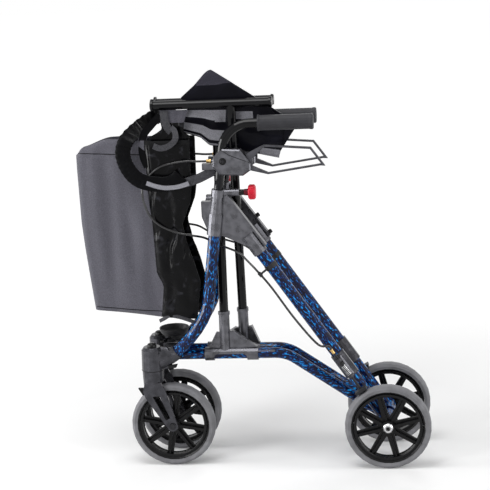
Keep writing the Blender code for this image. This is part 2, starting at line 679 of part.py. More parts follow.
def handle(label, side):
    """Telescopic handle tube, grip, brake housing and lever."""
    y = side * FRAME_Y
    path = handle_path(side)
    piece(f"handle_tube_{label}", [sweep(path, HANDLE_R)], BLACK_TUBE)

    back = GRIP_FRONT_X + GRIP_LENGTH
    inside = HANDLE_R + GAP
    profile = [(0, GRIP_FRONT_X), (GRIP_FLANGE_R, GRIP_FRONT_X),
               (GRIP_FLANGE_R, GRIP_FRONT_X + GRIP_FLANGE * 0.6), (GRIP_R, GRIP_FRONT_X + GRIP_FLANGE),
               (GRIP_R, back - 0.010), (GRIP_R + 0.0010, back - 0.006), (GRIP_R + 0.0010, back - 0.002),
               (GRIP_R - 0.001, back), (0, back)]
    solid = turned(profile, (0, y, HANDLE_Z), (1, 0, 0), 18)
    bore = rod((GRIP_FRONT_X - 0.01, y, HANDLE_Z), (HANDLE_TIP_X + GAP, y, HANDLE_Z), inside)
    piece(f"grip_{label}", [solid], GRIP_RUBBER, [bore])

    pivot = (LEVER_PIVOT_X, LEVER_PIVOT_Z)
    outline = offset(pivot, [(-0.0713, -0.0081), (-0.0704, 0.0119), (-0.0625, 0.0216), (-0.0487, 0.0322),
                             (-0.0072, 0.0296), (0.0158, -0.0034), (0.0151, -0.0186), (-0.0025, -0.0306),
                             (-0.0578, -0.0275)])
    body = prism(outline, y - HOUSING_HALF, y + HOUSING_HALF)
    bmesh.ops.bevel(body, geom=[e for e in body.edges if abs(e.verts[0].co.y - e.verts[1].co.y) < 0.001],
                    offset=0.003, segments=1, affect="EDGES")
    adjuster_z = LEVER_PIVOT_Z + ADJUSTER_RISE
    adjuster = rod((LEVER_PIVOT_X - ADJUSTER_AHEAD, y, adjuster_z), (LEVER_PIVOT_X - 0.0690, y, adjuster_z),
                   ADJUSTER_R, 12)
    clip = prism([(CLIP_X, LEVER_PIVOT_Z - CLIP_BOTTOM_DROP), (CLIP_X, LEVER_PIVOT_Z - CLIP_TOP_DROP),
                  (LEVER_PIVOT_X - 0.0690, LEVER_PIVOT_Z - CLIP_TOP_DROP - 0.001),
                  (LEVER_PIVOT_X - 0.0690, LEVER_PIVOT_Z - CLIP_BOTTOM_DROP + 0.002)], y - 0.010, y + 0.010)
    pin = rod((LEVER_PIVOT_X, y - HOUSING_HALF + 0.002, LEVER_PIVOT_Z),
              (LEVER_PIVOT_X, y + HOUSING_HALF - 0.002, LEVER_PIVOT_Z), PIN_R, 12)
    slot = prism(offset(pivot, [(-0.0135, -0.048), (-0.0135, 0.052), (0.051, 0.052), (0.051, -0.048)]),
                 y - LEVER_HALF - RUN, y + LEVER_HALF + RUN)
    recess_at = Vector((LEVER_PIVOT_X - 0.0474, y, LEVER_PIVOT_Z + 0.0039))
    recess = rod(recess_at + Vector((0, side * (HOUSING_HALF - 0.004), 0)),
                 recess_at + Vector((0, side * 0.03, 0)), 0.0085, 20)
    piece(f"brake_housing_{label}", [body, adjuster, clip], GREY_CASTING,
          [sweep(path, HANDLE_R + GAP), slot, recess], late=[pin])

    lever(label, y)


def lever(label, y):
    """Loop brake lever: two arms and an end bar, on a pin through the housing."""
    pivot = (LEVER_PIVOT_X, LEVER_PIVOT_Z)
    bar = LEVER_BAR
    outer = [(0.0090, 0.0203), (0.0470, 0.0385), (0.0950, 0.0345), (0.1540, 0.0298), (0.1855, -0.0143),
             (0.1745, -0.0135), (0.0545, -0.0302), (0.0130, -0.0199)]
    hole = [(0.0200, 0.0085), (0.0485, 0.0337), (0.0950, 0.0345 - bar), (0.1515, 0.0298 - bar),
            (0.1755, -0.0135 + bar), (0.0550, -0.0302 + bar), (0.0195, -0.0095)]
    root = arc(pivot, LEVER_ROOT_R, 80, 280, 8)
    plate = prism(offset(pivot, outer) + root[::-1], y - LEVER_HALF, y + LEVER_HALF)
    cuts = [prism(offset(pivot, hole), y - 0.01, y + 0.01),
            rod((LEVER_PIVOT_X, y - 0.01, LEVER_PIVOT_Z), (LEVER_PIVOT_X, y + 0.01, LEVER_PIVOT_Z),
                PIN_R + RUN, 12)]
    piece(f"brake_lever_{label}", [plate], GREY_CASTING, cuts, pivot=(LEVER_PIVOT_X, y, LEVER_PIVOT_Z))


def rear_brake(label, side):
    """Bracket clamped to the diagonal tube, with a sliding plunger that presses a shoe on the tyre."""
    low = BRAKE_CENTRE - BRAKE_LENGTH / 2
    high = BRAKE_CENTRE + BRAKE_LENGTH / 2
    out = BRAKE_SLEEVE_R + 0.008
    sleeve = rod(diagonal_point(low, side), diagonal_point(high, side), BRAKE_SLEEVE_R)
    arm = rod(diagonal_point(low + 0.004, side, 0.012), diagonal_point(high - 0.006, side, 0.012), 0.0095, 12)
    lugs = [rod(diagonal_point(at, side, ROD_OUT), diagonal_point(at + 0.008, side, ROD_OUT), 0.0075, 14)
            for at in (low + 0.002, high - 0.014)]
    ties = [rod(diagonal_point(at + 0.004, side, 0.010), diagonal_point(at + 0.004, side, ROD_OUT),
                0.0038, 10) for at in (low + 0.002, high - 0.014)]
    cuts = [rod(diagonal_point(low - 0.01, side), diagonal_point(high + 0.01, side), TUBE_R + GAP),
            rod(diagonal_point(low - 0.01, side, ROD_OUT), diagonal_point(high + 0.01, side, ROD_OUT),
                ROD_R + RUN, 12)]
    piece(f"brake_bracket_{label}", [sleeve, arm] + lugs + ties, GREY_CASTING, cuts)

    face = WHEEL_R + SHOE_GAP
    top = face + 0.0065
    rod_low = diagonal_point(top - 0.001, side, ROD_OUT)
    plunger = rod(rod_low, diagonal_point(high + 0.006, side, ROD_OUT), ROD_R, 12)
    collar = rod(diagonal_point(high - 0.023, side, ROD_OUT), diagonal_point(high - 0.020, side, ROD_OUT),
                 0.0062, 14)
    centre = (REAR_AXLE_X, WHEEL_R)
    angle = 180 - math.degrees(DIAGONAL_ANGLE)
    shoe_outline = arc(centre, face, angle - SHOE_SPREAD, angle + SHOE_SPREAD, 5)
    shoe_outline += arc(centre, top, angle + SHOE_SPREAD, angle - SHOE_SPREAD, 5)
    middle = FRAME_Y + REAR_WHEEL_OUT
    shoe = side_prism(shoe_outline, side, min(FRAME_Y + ROD_OUT - ROD_R, middle - SHOE_WIDTH / 2),
                      middle + SHOE_WIDTH / 2)
    piece(f"brake_plunger_{label}", [shoe, plunger, collar], BLACK_PLASTIC)


def cables(label, side):
    """Brake cable: a free loop in front of the frame, then a run along the diagonal tube."""
    out = side * (FRAME_Y + 0.003)
    away = side * (FRAME_Y + 0.019)
    inner = side * (FRAME_Y - 0.0215)
    end = diagonal_point(BRAKE_CENTRE + BRAKE_LENGTH / 2 + 0.0075, side, ROD_OUT)
    start_x = LEVER_PIVOT_X - ADJUSTER_AHEAD - GAP * 2
    start_z = LEVER_PIVOT_Z + ADJUSTER_RISE
    meet = (-0.1352, side * (FRAME_Y + 0.002), 0.5572)
    loop = [(start_x, side * FRAME_Y, start_z), (start_x - 0.0185, side * FRAME_Y, start_z),
            (-0.1459, out, 0.7300), (-0.1988, out, 0.7187), (-0.2332, out, 0.6895), (-0.2427, out, 0.6656),
            (-0.2397, out, 0.6340), (-0.2260, out, 0.6021), (-0.2013, out, 0.5793), (-0.1668, out, 0.5645),
            meet]
    run = [(-0.1101, side * (FRAME_Y - 0.016), 0.5480), (-0.0935, inner, 0.5391), (-0.0728, inner, 0.5280),
           (-0.0281, side * (FRAME_Y - 0.012), 0.5110), (-0.0088, side * FRAME_Y, 0.4958),
           (0.0195, away, 0.4701), (0.0502, away, 0.4310), (0.0989, away, 0.3586), (0.1499, away, 0.2959),
           end + DIAGONAL_DIRECTION * 0.022, end]
    path = smooth_route(loop + run, CABLE_STEPS * 2)
    split = round(CABLE_STEPS * 2 * (len(loop) - 1) / (len(loop + run) - 1))
    upper, lower = path[:split + 1], path[split:]
    lower[0] = lower[0] + (lower[1] - lower[0]).normalized() * GAP * 4
    cord(f"brake_cable_upper_{label}", upper, CABLE_R, BLACK_PLASTIC)
    cord(f"brake_cable_lower_{label}", lower, CABLE_R, BLACK_PLASTIC)


def brace(label, side):
    """One member of the cross brace: foot casting on its own base tube, tube up to the other side's rail."""
    other = "left" if label == "right" else "right"
    x = BRACE_X[label]
    foot_axis = Vector((x, side * FOLDED_PIVOT_Y, BASE_Z))
    rail_axis = Vector((x, -side * FOLDED_PIVOT_Y, RAIL_Z))
    along = (rail_axis - foot_axis).normalized()

    barrel_r = BASE_TUBE_R + FOOT_WALL
    rear_clamp = FOOT_CLAMP * 1.2
    clamps = [rod((FOOT_FRONT_X, 0, 0), (FOOT_FRONT_X + FOOT_CLAMP, 0, 0), barrel_r),
              rod((FOOT_REAR_X - rear_clamp, 0, 0), (FOOT_REAR_X, 0, 0), barrel_r)]
    front_rib = ((FOOT_FRONT_X + 0.0115, barrel_r), (x - FOOT_SOCKET_R - 0.0060, 0.052))
    rear_rib = ((x + FOOT_SOCKET_R + 0.0070, 0.0555), (FOOT_REAR_X - 0.003, barrel_r))
    plate = prism([(FOOT_FRONT_X + 0.002, 0.006), (FOOT_REAR_X - 0.002, 0.006), rear_rib[1], rear_rib[0],
                   front_rib[1], front_rib[0]], -FOOT_PLATE_HALF, FOOT_PLATE_HALF)
    ribs = [prism(strip(low, high, 0.0026), -FOOT_FLANGE_HALF, FOOT_FLANGE_HALF)
            for low, high in (front_rib, rear_rib)]
    saddle = rod((FOOT_FRONT_X + 0.006, 0, 0.0005), (FOOT_REAR_X - 0.006, 0, 0.0005), barrel_r - 0.001)
    socket = rod((x, 0, 0.008), (x, 0, FOOT_HEIGHT), FOOT_SOCKET_R)
    ring = rod((x, 0, FOOT_HEIGHT - 0.008), (x, 0, FOOT_HEIGHT), FOOT_SOCKET_R + 0.0015)
    window_front = FOOT_FRONT_X + FOOT_CLAMP
    window_rear = FOOT_REAR_X - rear_clamp
    bow = 0.009
    window = prism([(window_rear, -0.04), (window_front, -0.04)]
                   + arc((window_front + bow, 0.001 - bow), bow, 180, 90, 4)
                   + arc((window_rear - bow, 0.001 - bow), bow, 90, 0, 4), -0.04, 0.04)
    tube_space = rod((FOOT_FRONT_X - 0.02, 0, 0), (FOOT_REAR_X + 0.02, 0, 0), BASE_TUBE_R + RUN)
    brace_space = rod((x, 0, FOOT_SEAT), (x, 0, FOOT_HEIGHT + 0.02), BRACE_R + GAP, 18)
    foot = piece(f"brace_foot_{label}", [saddle, plate, socket, ring] + ribs, GREY_CASTING, [window],
                 late=clamps, late_cuts=[tube_space, brace_space])
    foot.location = (0, side * FOLDED_PIVOT_Y, BASE_Z)
    foot.rotation_euler = (side * FOLDED_ANGLE, 0, 0)

    start = foot_axis + along * (FOOT_SEAT + GAP)
    pivot_hole = rod((x - 0.03, 0, CENTRE_Z), (x + 0.03, 0, CENTRE_Z), PIVOT_R + RUN, 12)
    rail_space = rod((x - 0.05, rail_axis.y, RAIL_Z), (x + 0.05, rail_axis.y, RAIL_Z), RAIL_R + GAP, 18)
    piece(f"brace_tube_{label}", [rod(start, rail_axis, BRACE_R, 18)], BLACK_TUBE, [pivot_hole, rail_space],
          pivot=foot_axis)

    front, back = RAIL_FRONT_X, RAIL_REAR_X
    rail = [(0, front + 0.003), (FRONT_CAP_R - 0.006, front + 0.003), (FRONT_CAP_R - 0.005, front),
            (FRONT_CAP_R, front + 0.002), (FRONT_CAP_R, front + RAIL_CAP), (RAIL_R, front + RAIL_CAP),
            (RAIL_R, back - RAIL_CAP), (REAR_CAP_R, back - RAIL_CAP), (REAR_CAP_R, back - 0.002),
            (REAR_CAP_R - 0.002, back), (0, back)]
    piece(f"seat_rail_{other}", [turned(rail, (0, rail_axis.y, RAIL_Z), (1, 0, 0), 16)], BLACK_TUBE)


def pivot_bolt():
    """Bolt and spacer at the crossing of the two brace tubes."""
    first, last = min(LEFT_BRACE_X, RIGHT_BRACE_X), max(LEFT_BRACE_X, RIGHT_BRACE_X)
    head = BRACE_R + GAP
    gap_low, gap_high = first + BRACE_R + GAP, last - BRACE_R - GAP
    profile = [(0, first - head - 0.004), (0.0070, first - head - 0.004), (0.0070, first - head),
               (PIVOT_R, first - head), (PIVOT_R, gap_low), (0.0075, gap_low), (0.0075, gap_high),
               (PIVOT_R, gap_high), (PIVOT_R, last + head), (0.0070, last + head),
               (0.0070, last + head + 0.004), (0, last + head + 0.004)]
    piece("pivot_bolt", [turned(profile, (0, 0, CENTRE_Z), (1, 0, 0), 12)], STEEL, pivot=(0, 0, CENTRE_Z))


def seat():
    """Seat cloth as it folds: a wing down from each rail, and a double ridge between them."""
    rail = (0, RAIL_Z)
    crease_front, crease_middle, crease_rear = (-0.0955, -0.0670), (0.0067, -0.0852), (0.0702, -0.1274)
    ridge = offset(rail, [(-0.1506, 0.0138), (-0.0898, 0.0755), (-0.0839, 0.0742), (0.1192, -0.0564),
                          crease_rear, crease_middle, crease_front, (-0.1189, -0.0435)])
    piece("seat_ridge", [prism(ridge, -RIDGE_HALF, RIDGE_HALF)], BLACK_CLOTH)
    wing = offset(rail, [(-0.1180, -0.0050), (0.0550, -0.0050), (0.0840, -0.0700), crease_rear,
                         (crease_middle[0] - 0.002, crease_middle[1] + 0.008),
                         (crease_front[0], crease_front[1] + 0.002), (-0.1180, -0.0520)])
    low_y, high_y, low_z, high_z = RIDGE_HALF + GAP, FOLDED_PIVOT_Y - RAIL_R - 0.0006, RAIL_Z - 0.072, RAIL_Z
    for label, side in SIDES.items():
        bm = bmesh.new()
        faces = []
        for shift in (0, CLOTH):
            ring = []
            for x, z in wing:
                share = max(0.0, (z - low_z) / (high_z - low_z))
                inner = low_y + (high_y - CLOTH - low_y) * share
                ring.append(bm.verts.new((x, side * (inner + shift), z)))
            faces.append(ring)
        count = len(wing)
        for k in range(count):
            n = (k + 1) % count
            bm.faces.new((faces[0][k], faces[0][n], faces[1][n], faces[1][k]))
        for ring in faces:
            bm.faces.new(ring)
        bmesh.ops.triangulate(bm, faces=bm.faces)
        piece(f"seat_wing_{label}", [bm], BLACK_CLOTH)


def bag(label, side):
    """Folded bag: a side gusset along the frame and half of the front panel ahead of the rails."""
    corner = (BAG_CORNER_X, BAG_TOP_Z)
    outline = offset(corner, [(GAP, 0), (0.1060, 0), (0.1040, -0.1040), (0.1010, -0.1340), (0.0790, -0.1840),
                              (0.0885, -0.2330), (0.1030, -0.2800), (0.1150, -0.3220), (0.1066, -0.3753),
                              (0.1030, -0.4090), (GAP, -0.4050)])
    near, far = FOLDED_PIVOT_Y + FRONT_CAP_R + 0.001, FOLDED_PIVOT_Y + FRONT_CAP_R + 0.001 + SIDE_CLOTH
    cuts = [sweep(front_tube_path(side), TUBE_R + 0.0005)]
    piece(f"bag_side_{label}", [side_prism(outline, side, near, far)], BLACK_CLOTH, cuts)

    hinge_x = BAG_TIP_X + BRACE_LENGTH / 2 * math.cos(FOLDED_ANGLE)
    panel = offset((BAG_TIP_X, BAG_TOP_Z), [(0, -0.0220), (0.0240, -0.0040), (0.1080, 0.0115)])
    panel += offset(corner, [(-GAP, 0.0090), (-GAP, -0.4040)])
    panel += offset((BAG_TIP_X, BAG_TOP_Z), [(0.0900, -0.4055), (0.0400, -0.3930), (0.0220, -0.3090),
                                             (0.0075, -0.1390)])
    bm = bmesh.new()
    rings = []
    for outer in (False, True):
        ring = []
        for x, z in panel:
            share = (x - BAG_TIP_X) / (BAG_CORNER_X - BAG_TIP_X)
            y = 0.010 + share * 0.033 if outer else 0.0006
            ring.append(bm.verts.new((x, side * y, z)))
        rings.append(ring)
    for k in range(len(panel)):
        n = (k + 1) % len(panel)
        bm.faces.new((rings[0][k], rings[0][n], rings[1][n], rings[1][k]))
    for ring in rings:
        bm.faces.new(ring)
    bmesh.ops.triangulate(bm, faces=bm.faces)
    piece(f"bag_front_{label}", [bm], GREY_CLOTH, pivot=(hinge_x, side * FOLDED_PIVOT_Y, 0))


def strap_point(angle, radius):
    return (STRAP_X + radius * math.cos(angle), STRAP_Z + radius * math.sin(angle))


def backrest(label, side):
    """Half of the padded backrest strap, with the folded middle that crosses to the other half."""
    inner, outer = STRAP_R - STRAP_WIDTH / 2, STRAP_R + STRAP_WIDTH / 2
    near = FRAME_Y + STRAP_OUT
    clip_top, clip_bottom = LEVER_PIVOT_Z - CLIP_TOP_DROP, LEVER_PIVOT_Z - CLIP_BOTTOM_DROP
    clip = [(CLIP_X - GAP, clip_top), (CLIP_X - GAP, clip_bottom)]
    if side < 0:
        turns = [math.radians(325) + (FOLD_START + FOLD_GAP - math.radians(325)) * i / 14 for i in range(15)]
        before, after = [], clip
    else:
        turns = [FOLD_END - FOLD_GAP - math.radians(60) * i / 5 for i in range(6)]
        before, after = clip, []
    outline = [strap_point(a, outer) for a in turns] + before
    outline += [strap_point(a, inner) for a in reversed(turns)] + after
    band = side_prism(outline, side, near, near + STRAP_CLOTH)
    link = side_prism(offset((CLIP_X, clip_bottom), [(-GAP, 0.003), (-GAP, 0.0135), (-0.020, 0.0105),
                                                     (-0.020, 0.0015)]), side, FRAME_Y - 0.004,
                      near + STRAP_CLOTH * 0.7)
    piece(f"backrest_strap_{label}", [band, link], BLACK_CLOTH)

    span = (FOLD_START, FOLD_TIP) if side < 0 else (FOLD_END, FOLD_TIP)
    tip_x = strap_point(FOLD_START, inner + STRAP_WIDTH)[0]
    hinge_x = tip_x + BRACE_LENGTH / 2 * math.cos(FOLDED_ANGLE)
    bm = bmesh.new()
    rings = []
    for shift in (0, STRAP_CLOTH):
        ring = []
        for radius, order in ((outer, range(5)), (inner, range(4, -1, -1))):
            for i in order:
                t = i / 4
                angle = span[0] + (span[1] - span[0]) * t
                x, z = strap_point(angle, radius)
                y = (near + shift * 0.85) * (1 - t) + (0.0006 + shift * 0.6) * t
                ring.append(bm.verts.new((x, side * y, z)))
        rings.append(ring)
    count = len(rings[0])
    for k in range(count):
        n = (k + 1) % count
        bm.faces.new((rings[0][k], rings[0][n], rings[1][n], rings[1][k]))
    for i in range(4):
        for ring in rings:
            bm.faces.new((ring[i], ring[i + 1], ring[count - 2 - i], ring[count - 1 - i]))
    piece(f"backrest_fold_{label}", [bm], BLACK_CLOTH, pivot=(hinge_x, side * FOLDED_PIVOT_Y, 0))


for label, side in SIDES.items():
    side_frame(label, side)
    caster_head(label, side)
    caster_fork(label, side)
    wheel("front", label, (FRONT_AXLE_X, side * FRAME_Y, WHEEL_R), FRONT_HUB_WIDTH, FRONT_SPOKE_TURN)
    wheel("rear", label, (REAR_AXLE_X, side * (FRAME_Y + REAR_WHEEL_OUT), WHEEL_R), REAR_HUB_WIDTH,
          REAR_SPOKE_TURN)
    rear_axle(label, side)
    top_bracket(label, side)
    height_knob(label, side)
    handle(label, side)
    rear_brake(label, side)
    cables(label, side)
    brace(label, side)
    bag(label, side)
    backrest(label, side)
pivot_bolt()
seat()
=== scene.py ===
import math

import bmesh
import bpy
from mathutils import Matrix, Vector, noise


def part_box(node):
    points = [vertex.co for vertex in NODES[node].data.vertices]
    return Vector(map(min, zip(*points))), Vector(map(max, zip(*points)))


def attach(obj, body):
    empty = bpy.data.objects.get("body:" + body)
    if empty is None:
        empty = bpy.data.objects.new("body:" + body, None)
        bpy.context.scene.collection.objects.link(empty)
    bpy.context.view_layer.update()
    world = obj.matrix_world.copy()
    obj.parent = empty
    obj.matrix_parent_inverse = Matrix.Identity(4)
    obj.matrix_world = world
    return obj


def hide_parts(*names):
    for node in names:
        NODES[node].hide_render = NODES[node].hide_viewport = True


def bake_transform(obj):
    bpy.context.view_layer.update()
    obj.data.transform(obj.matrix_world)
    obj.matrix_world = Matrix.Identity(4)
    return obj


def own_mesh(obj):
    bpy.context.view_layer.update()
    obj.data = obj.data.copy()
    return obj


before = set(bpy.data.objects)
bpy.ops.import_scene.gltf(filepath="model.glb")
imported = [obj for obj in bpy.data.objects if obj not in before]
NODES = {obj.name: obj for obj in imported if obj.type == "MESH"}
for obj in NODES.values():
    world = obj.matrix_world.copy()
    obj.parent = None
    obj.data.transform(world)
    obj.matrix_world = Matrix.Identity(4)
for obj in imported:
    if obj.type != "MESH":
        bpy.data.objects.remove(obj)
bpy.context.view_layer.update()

SIDES = {"left": -1, "right": 1}

# Places that several pieces share, in metres and radians. X runs to the rear and Z up.

FRAME_Y = 0.056
LEAN = math.radians(7.9)
DIAGONAL = math.radians(55.6)
UP_DIAGONAL = Vector((-math.cos(DIAGONAL), 0, math.sin(DIAGONAL)))
REAR_AXLE = Vector((0.3083, 0, 0.100))
RAIL_Z = 0.8567
CABLE_START = (-0.0904, 0.7291)
CABLE_OUT = 0.019
BRAKE_CENTRE = 0.173
BRAKE_LENGTH = 0.062
BRAKE_OUT = 0.0300
STRAP_CENTRE = (-0.2042, 0.7491)

# Shared surface effects

FLOAT = "NodeSocketFloat"


def effect(name, inputs, outputs):
    """An empty node group with named inputs and outputs, and its two end nodes."""
    group = bpy.data.node_groups.new(name, "ShaderNodeTree")
    for label, value in inputs.items():
        socket = group.interface.new_socket(name=label, in_out="INPUT", socket_type=FLOAT)
        socket.default_value = value
    for label in outputs:
        group.interface.new_socket(name=label, in_out="OUTPUT", socket_type=FLOAT)
    return group, group.nodes.new("NodeGroupInput"), group.nodes.new("NodeGroupOutput")


def node(tree, kind, **settings):
    """A new node with its settings."""
    made = tree.nodes.new(kind)
    for key, value in settings.items():
        setattr(made, key, value)
    return made


def feed(tree, value, socket):
    """Sets a socket to a number, or links another socket to it."""
    if isinstance(value, (int, float)):
        socket.default_value = value
    else:
        tree.links.new(value, socket)


def maths(tree, operation, *values):
    """The result of a Math node."""
    made = node(tree, "ShaderNodeMath", operation=operation)
    for socket, value in zip(made.inputs, values):
        feed(tree, value, socket)
    return made.outputs[0]


def object_place(tree):
    """The place on the piece, in metres."""
    return node(tree, "ShaderNodeTexCoord").outputs["Object"]


def clouds(tree, place, scale, detail, distortion=0.0):
    """Noise from 0 to 1."""
    made = node(tree, "ShaderNodeTexNoise")
    made.inputs["Detail"].default_value = detail
    made.inputs["Distortion"].default_value = distortion
    feed(tree, scale, made.inputs["Scale"])
    tree.links.new(place, made.inputs["Vector"])
    return made.outputs["Fac"]


def build_grain():
    """Fine speckle of a casting, moulding or rubber: a height, and wider patches."""
    group, given, out = effect("fine_grain", {"Size": 0.002, "Blotch": 0.03}, ("Height", "Patch"))
    place = object_place(group)
    for size, detail, result in (("Size", 3, "Height"), ("Blotch", 2, "Patch")):
        scale = maths(group, "DIVIDE", 1.0, given.outputs[size])
        group.links.new(clouds(group, place, scale, detail), out.inputs[result])
    return group


def build_weave():
    """Plain woven cloth in the XZ plane: a height, and a mask of the thicker threads."""
    group, given, out = effect("weave", {"Thread": 0.0015}, ("Height", "Slub"))
    place = object_place(group)
    parts = node(group, "ShaderNodeSeparateXYZ")
    group.links.new(place, parts.inputs[0])
    rate = maths(group, "DIVIDE", 2 * math.pi, given.outputs["Thread"])
    warp = maths(group, "SINE", maths(group, "MULTIPLY", parts.outputs["X"], rate))
    weft = maths(group, "SINE", maths(group, "MULTIPLY", parts.outputs["Z"], rate))
    height = maths(group, "MULTIPLY_ADD", maths(group, "MULTIPLY", warp, weft), 0.5, 0.5)
    slub_scale = maths(group, "DIVIDE", 0.7, given.outputs["Thread"])
    group.links.new(height, out.inputs["Height"])
    group.links.new(clouds(group, place, slub_scale, 4), out.inputs["Slub"])
    return group


def build_crinkle():
    """Soft creases of coated cloth: a height."""
    group, given, out = effect("crinkle", {"Size": 0.05}, ("Height",))
    scale = maths(group, "DIVIDE", 1.0, given.outputs["Size"])
    group.links.new(clouds(group, object_place(group), scale, 2.5, 1.2), out.inputs["Height"])
    return group


GRAIN = build_grain()
WEAVE = build_weave()
CRINKLE = build_crinkle()


# Materials

def new_material(name, **values):
    """A material with the values set on its Principled shader."""
    made = bpy.data.materials.new(name)
    made.use_nodes = True
    shader = made.node_tree.nodes["Principled BSDF"]
    for label, value in values.items():
        socket = shader.inputs[label.replace("_", " ")]
        socket.default_value = (*value, 1) if isinstance(value, tuple) else value
    return made, made.node_tree, shader


def place_effect(tree, group, **values):
    """A shared effect placed in a material with its own values."""
    made = node(tree, "ShaderNodeGroup")
    made.node_tree = group
    for label, value in values.items():
        made.inputs[label].default_value = value
    return made.outputs


def bump(tree, shader, height, distance, strength=1.0, before=None):
    """Relief on the shader's normal, over an earlier relief where one is given."""
    made = node(tree, "ShaderNodeBump")
    made.inputs["Distance"].default_value = distance
    made.inputs["Strength"].default_value = strength
    tree.links.new(height, made.inputs["Height"])
    if before is not None:
        tree.links.new(before, made.inputs["Normal"])
    tree.links.new(made.outputs["Normal"], shader.inputs["Normal"])
    return made.outputs["Normal"]


def shades(tree, shader, value, stops):
    """The base colour, from a value through stops of (position, colour)."""
    ramp = node(tree, "ShaderNodeValToRGB")
    while len(ramp.color_ramp.elements) < len(stops):
        ramp.color_ramp.elements.new(0.5)
    for element, (at, colour) in zip(ramp.color_ramp.elements, stops):
        element.position = at
        element.color = (*colour, 1)
    tree.links.new(value, ramp.inputs["Fac"])
    tree.links.new(ramp.outputs["Color"], shader.inputs["Base Color"])


def roughen(tree, shader, value, low, high):
    """The roughness, from low to high over the middle span of a noise."""
    span = node(tree, "ShaderNodeMapRange")
    for label, limit in (("From Min", 0.3), ("From Max", 0.7), ("To Min", low), ("To Max", high)):
        span.inputs[label].default_value = limit
    tree.links.new(value, span.inputs["Value"])
    tree.links.new(span.outputs["Result"], shader.inputs["Roughness"])


def at_strength(tone, share):
    """A colour at a share of its strength."""
    return tuple(c * share for c in tone)


FLAKE_SCALE = 290
FLAKE_STRETCH = 0.36
FLAKE_SHADES = [(0.46, (0.0008, 0.0012, 0.014)), (0.53, (0.0006, 0.004, 0.045)), (0.57, (0.0, 0.030, 0.17)),
                (0.625, (0.0, 0.14, 0.46)), (0.69, (0.005, 0.36, 0.85))]


def marbled_blue(name, angle):
    """Dark blue lacquer with bright blue flakes drawn out along the tube, under a clear coat."""
    made, tree, shader = new_material(name, Metallic=0.0, Coat_Weight=0.32, Coat_Roughness=0.04,
                                      Roughness=0.35, Specular_IOR_Level=0.08)
    turn = node(tree, "ShaderNodeMapping")
    turn.inputs["Rotation"].default_value = (0, angle, 0)
    tree.links.new(object_place(tree), turn.inputs["Vector"])
    stretch = node(tree, "ShaderNodeMapping")
    stretch.inputs["Scale"].default_value = (FLAKE_STRETCH, 1.0, 1.0)
    tree.links.new(turn.outputs["Vector"], stretch.inputs["Vector"])
    shades(tree, shader, clouds(tree, stretch.outputs["Vector"], FLAKE_SCALE, 3.0, 0.5), FLAKE_SHADES)
    return made


def casting(name, tone, metallic, rough):
    """Painted or bare cast metal with a fine grain and darker patches."""
    made, tree, shader = new_material(name, Metallic=metallic)
    grain = place_effect(tree, GRAIN, Size=0.0012, Blotch=0.016)
    shades(tree, shader, grain["Patch"], [(0.36, at_strength(tone, 0.62)), (0.64, tone)])
    roughen(tree, shader, grain["Patch"], rough - 0.06, rough + 0.08)
    bump(tree, shader, grain["Height"], 0.0002, 0.6)
    return made


def moulding(name, tone, rough, grain_size=0.0009, depth=0.0001, coat=0.0):
    """Moulded plastic or rubber with a fine grain."""
    made, tree, shader = new_material(name, Coat_Weight=coat, Specular_IOR_Level=0.2)
    grain = place_effect(tree, GRAIN, Size=grain_size, Blotch=0.025)
    shades(tree, shader, grain["Patch"], [(0.3, at_strength(tone, 0.8)), (0.7, at_strength(tone, 1.15))])
    roughen(tree, shader, grain["Patch"], rough - 0.03, rough + 0.05)
    bump(tree, shader, grain["Height"], depth)
    return made


def black_gloss():
    """Black lacquered tube."""
    made, tree, shader = new_material("black_gloss_tube", Coat_Weight=0.28, Coat_Roughness=0.03,
                                      Specular_IOR_Level=0.04)
    grain = place_effect(tree, GRAIN, Size=0.004, Blotch=0.05)
    shades(tree, shader, grain["Patch"], [(0.3, (0.001, 0.001, 0.0015)), (0.7, (0.003, 0.003, 0.004))])
    roughen(tree, shader, grain["Patch"], 0.16, 0.24)
    return made


def bright_steel():
    """Plated steel, a little uneven."""
    made, tree, shader = new_material("bright_steel", Metallic=1.0)
    grain = place_effect(tree, GRAIN, Size=0.0015, Blotch=0.008)
    shades(tree, shader, grain["Patch"], [(0.3, (0.42, 0.42, 0.43)), (0.7, (0.66, 0.66, 0.67))])
    roughen(tree, shader, grain["Patch"], 0.2, 0.34)
    return made


def woven(name, dark, light, thread, rough, depth, sheen=0.0):
    """Matt woven cloth: the threads show as relief, and thicker threads vary the colour."""
    made, tree, shader = new_material(name, Roughness=rough, Sheen_Weight=sheen, Sheen_Roughness=0.5,
                                      Specular_IOR_Level=0.15)
    cloth = place_effect(tree, WEAVE, Thread=thread)
    creases = place_effect(tree, CRINKLE, Size=0.09)
    shades(tree, shader, cloth["Slub"], [(0.35, dark), (0.65, light)])
    creased = bump(tree, shader, creases["Height"], 0.004, 0.5)
    bump(tree, shader, cloth["Height"], depth, 0.8, before=creased)
    return made


def coated(name, tone, rough, coat, crease, depth, highlight=1.3):
    """Glossy coated cloth with soft creases; its colour follows the crease height, as painted shade in the
    hollows and a painted highlight on the ridges.
    """
    made, tree, shader = new_material(name, Coat_Weight=coat, Coat_Roughness=0.08, Roughness=rough,
                                      Specular_IOR_Level=0.035)
    creases = place_effect(tree, CRINKLE, Size=crease)
    cloth = place_effect(tree, WEAVE, Thread=0.0012)
    # Painted shade and highlight: darker low in the creases, lighter on their ridges.
    shades(tree, shader, creases["Height"],
           [(0.3, at_strength(tone, 0.7)), (0.56, tone), (0.7, at_strength(tone, highlight))])
    creased = bump(tree, shader, creases["Height"], depth, 0.7)
    bump(tree, shader, cloth["Height"], 0.00006, 0.5, before=creased)
    return made


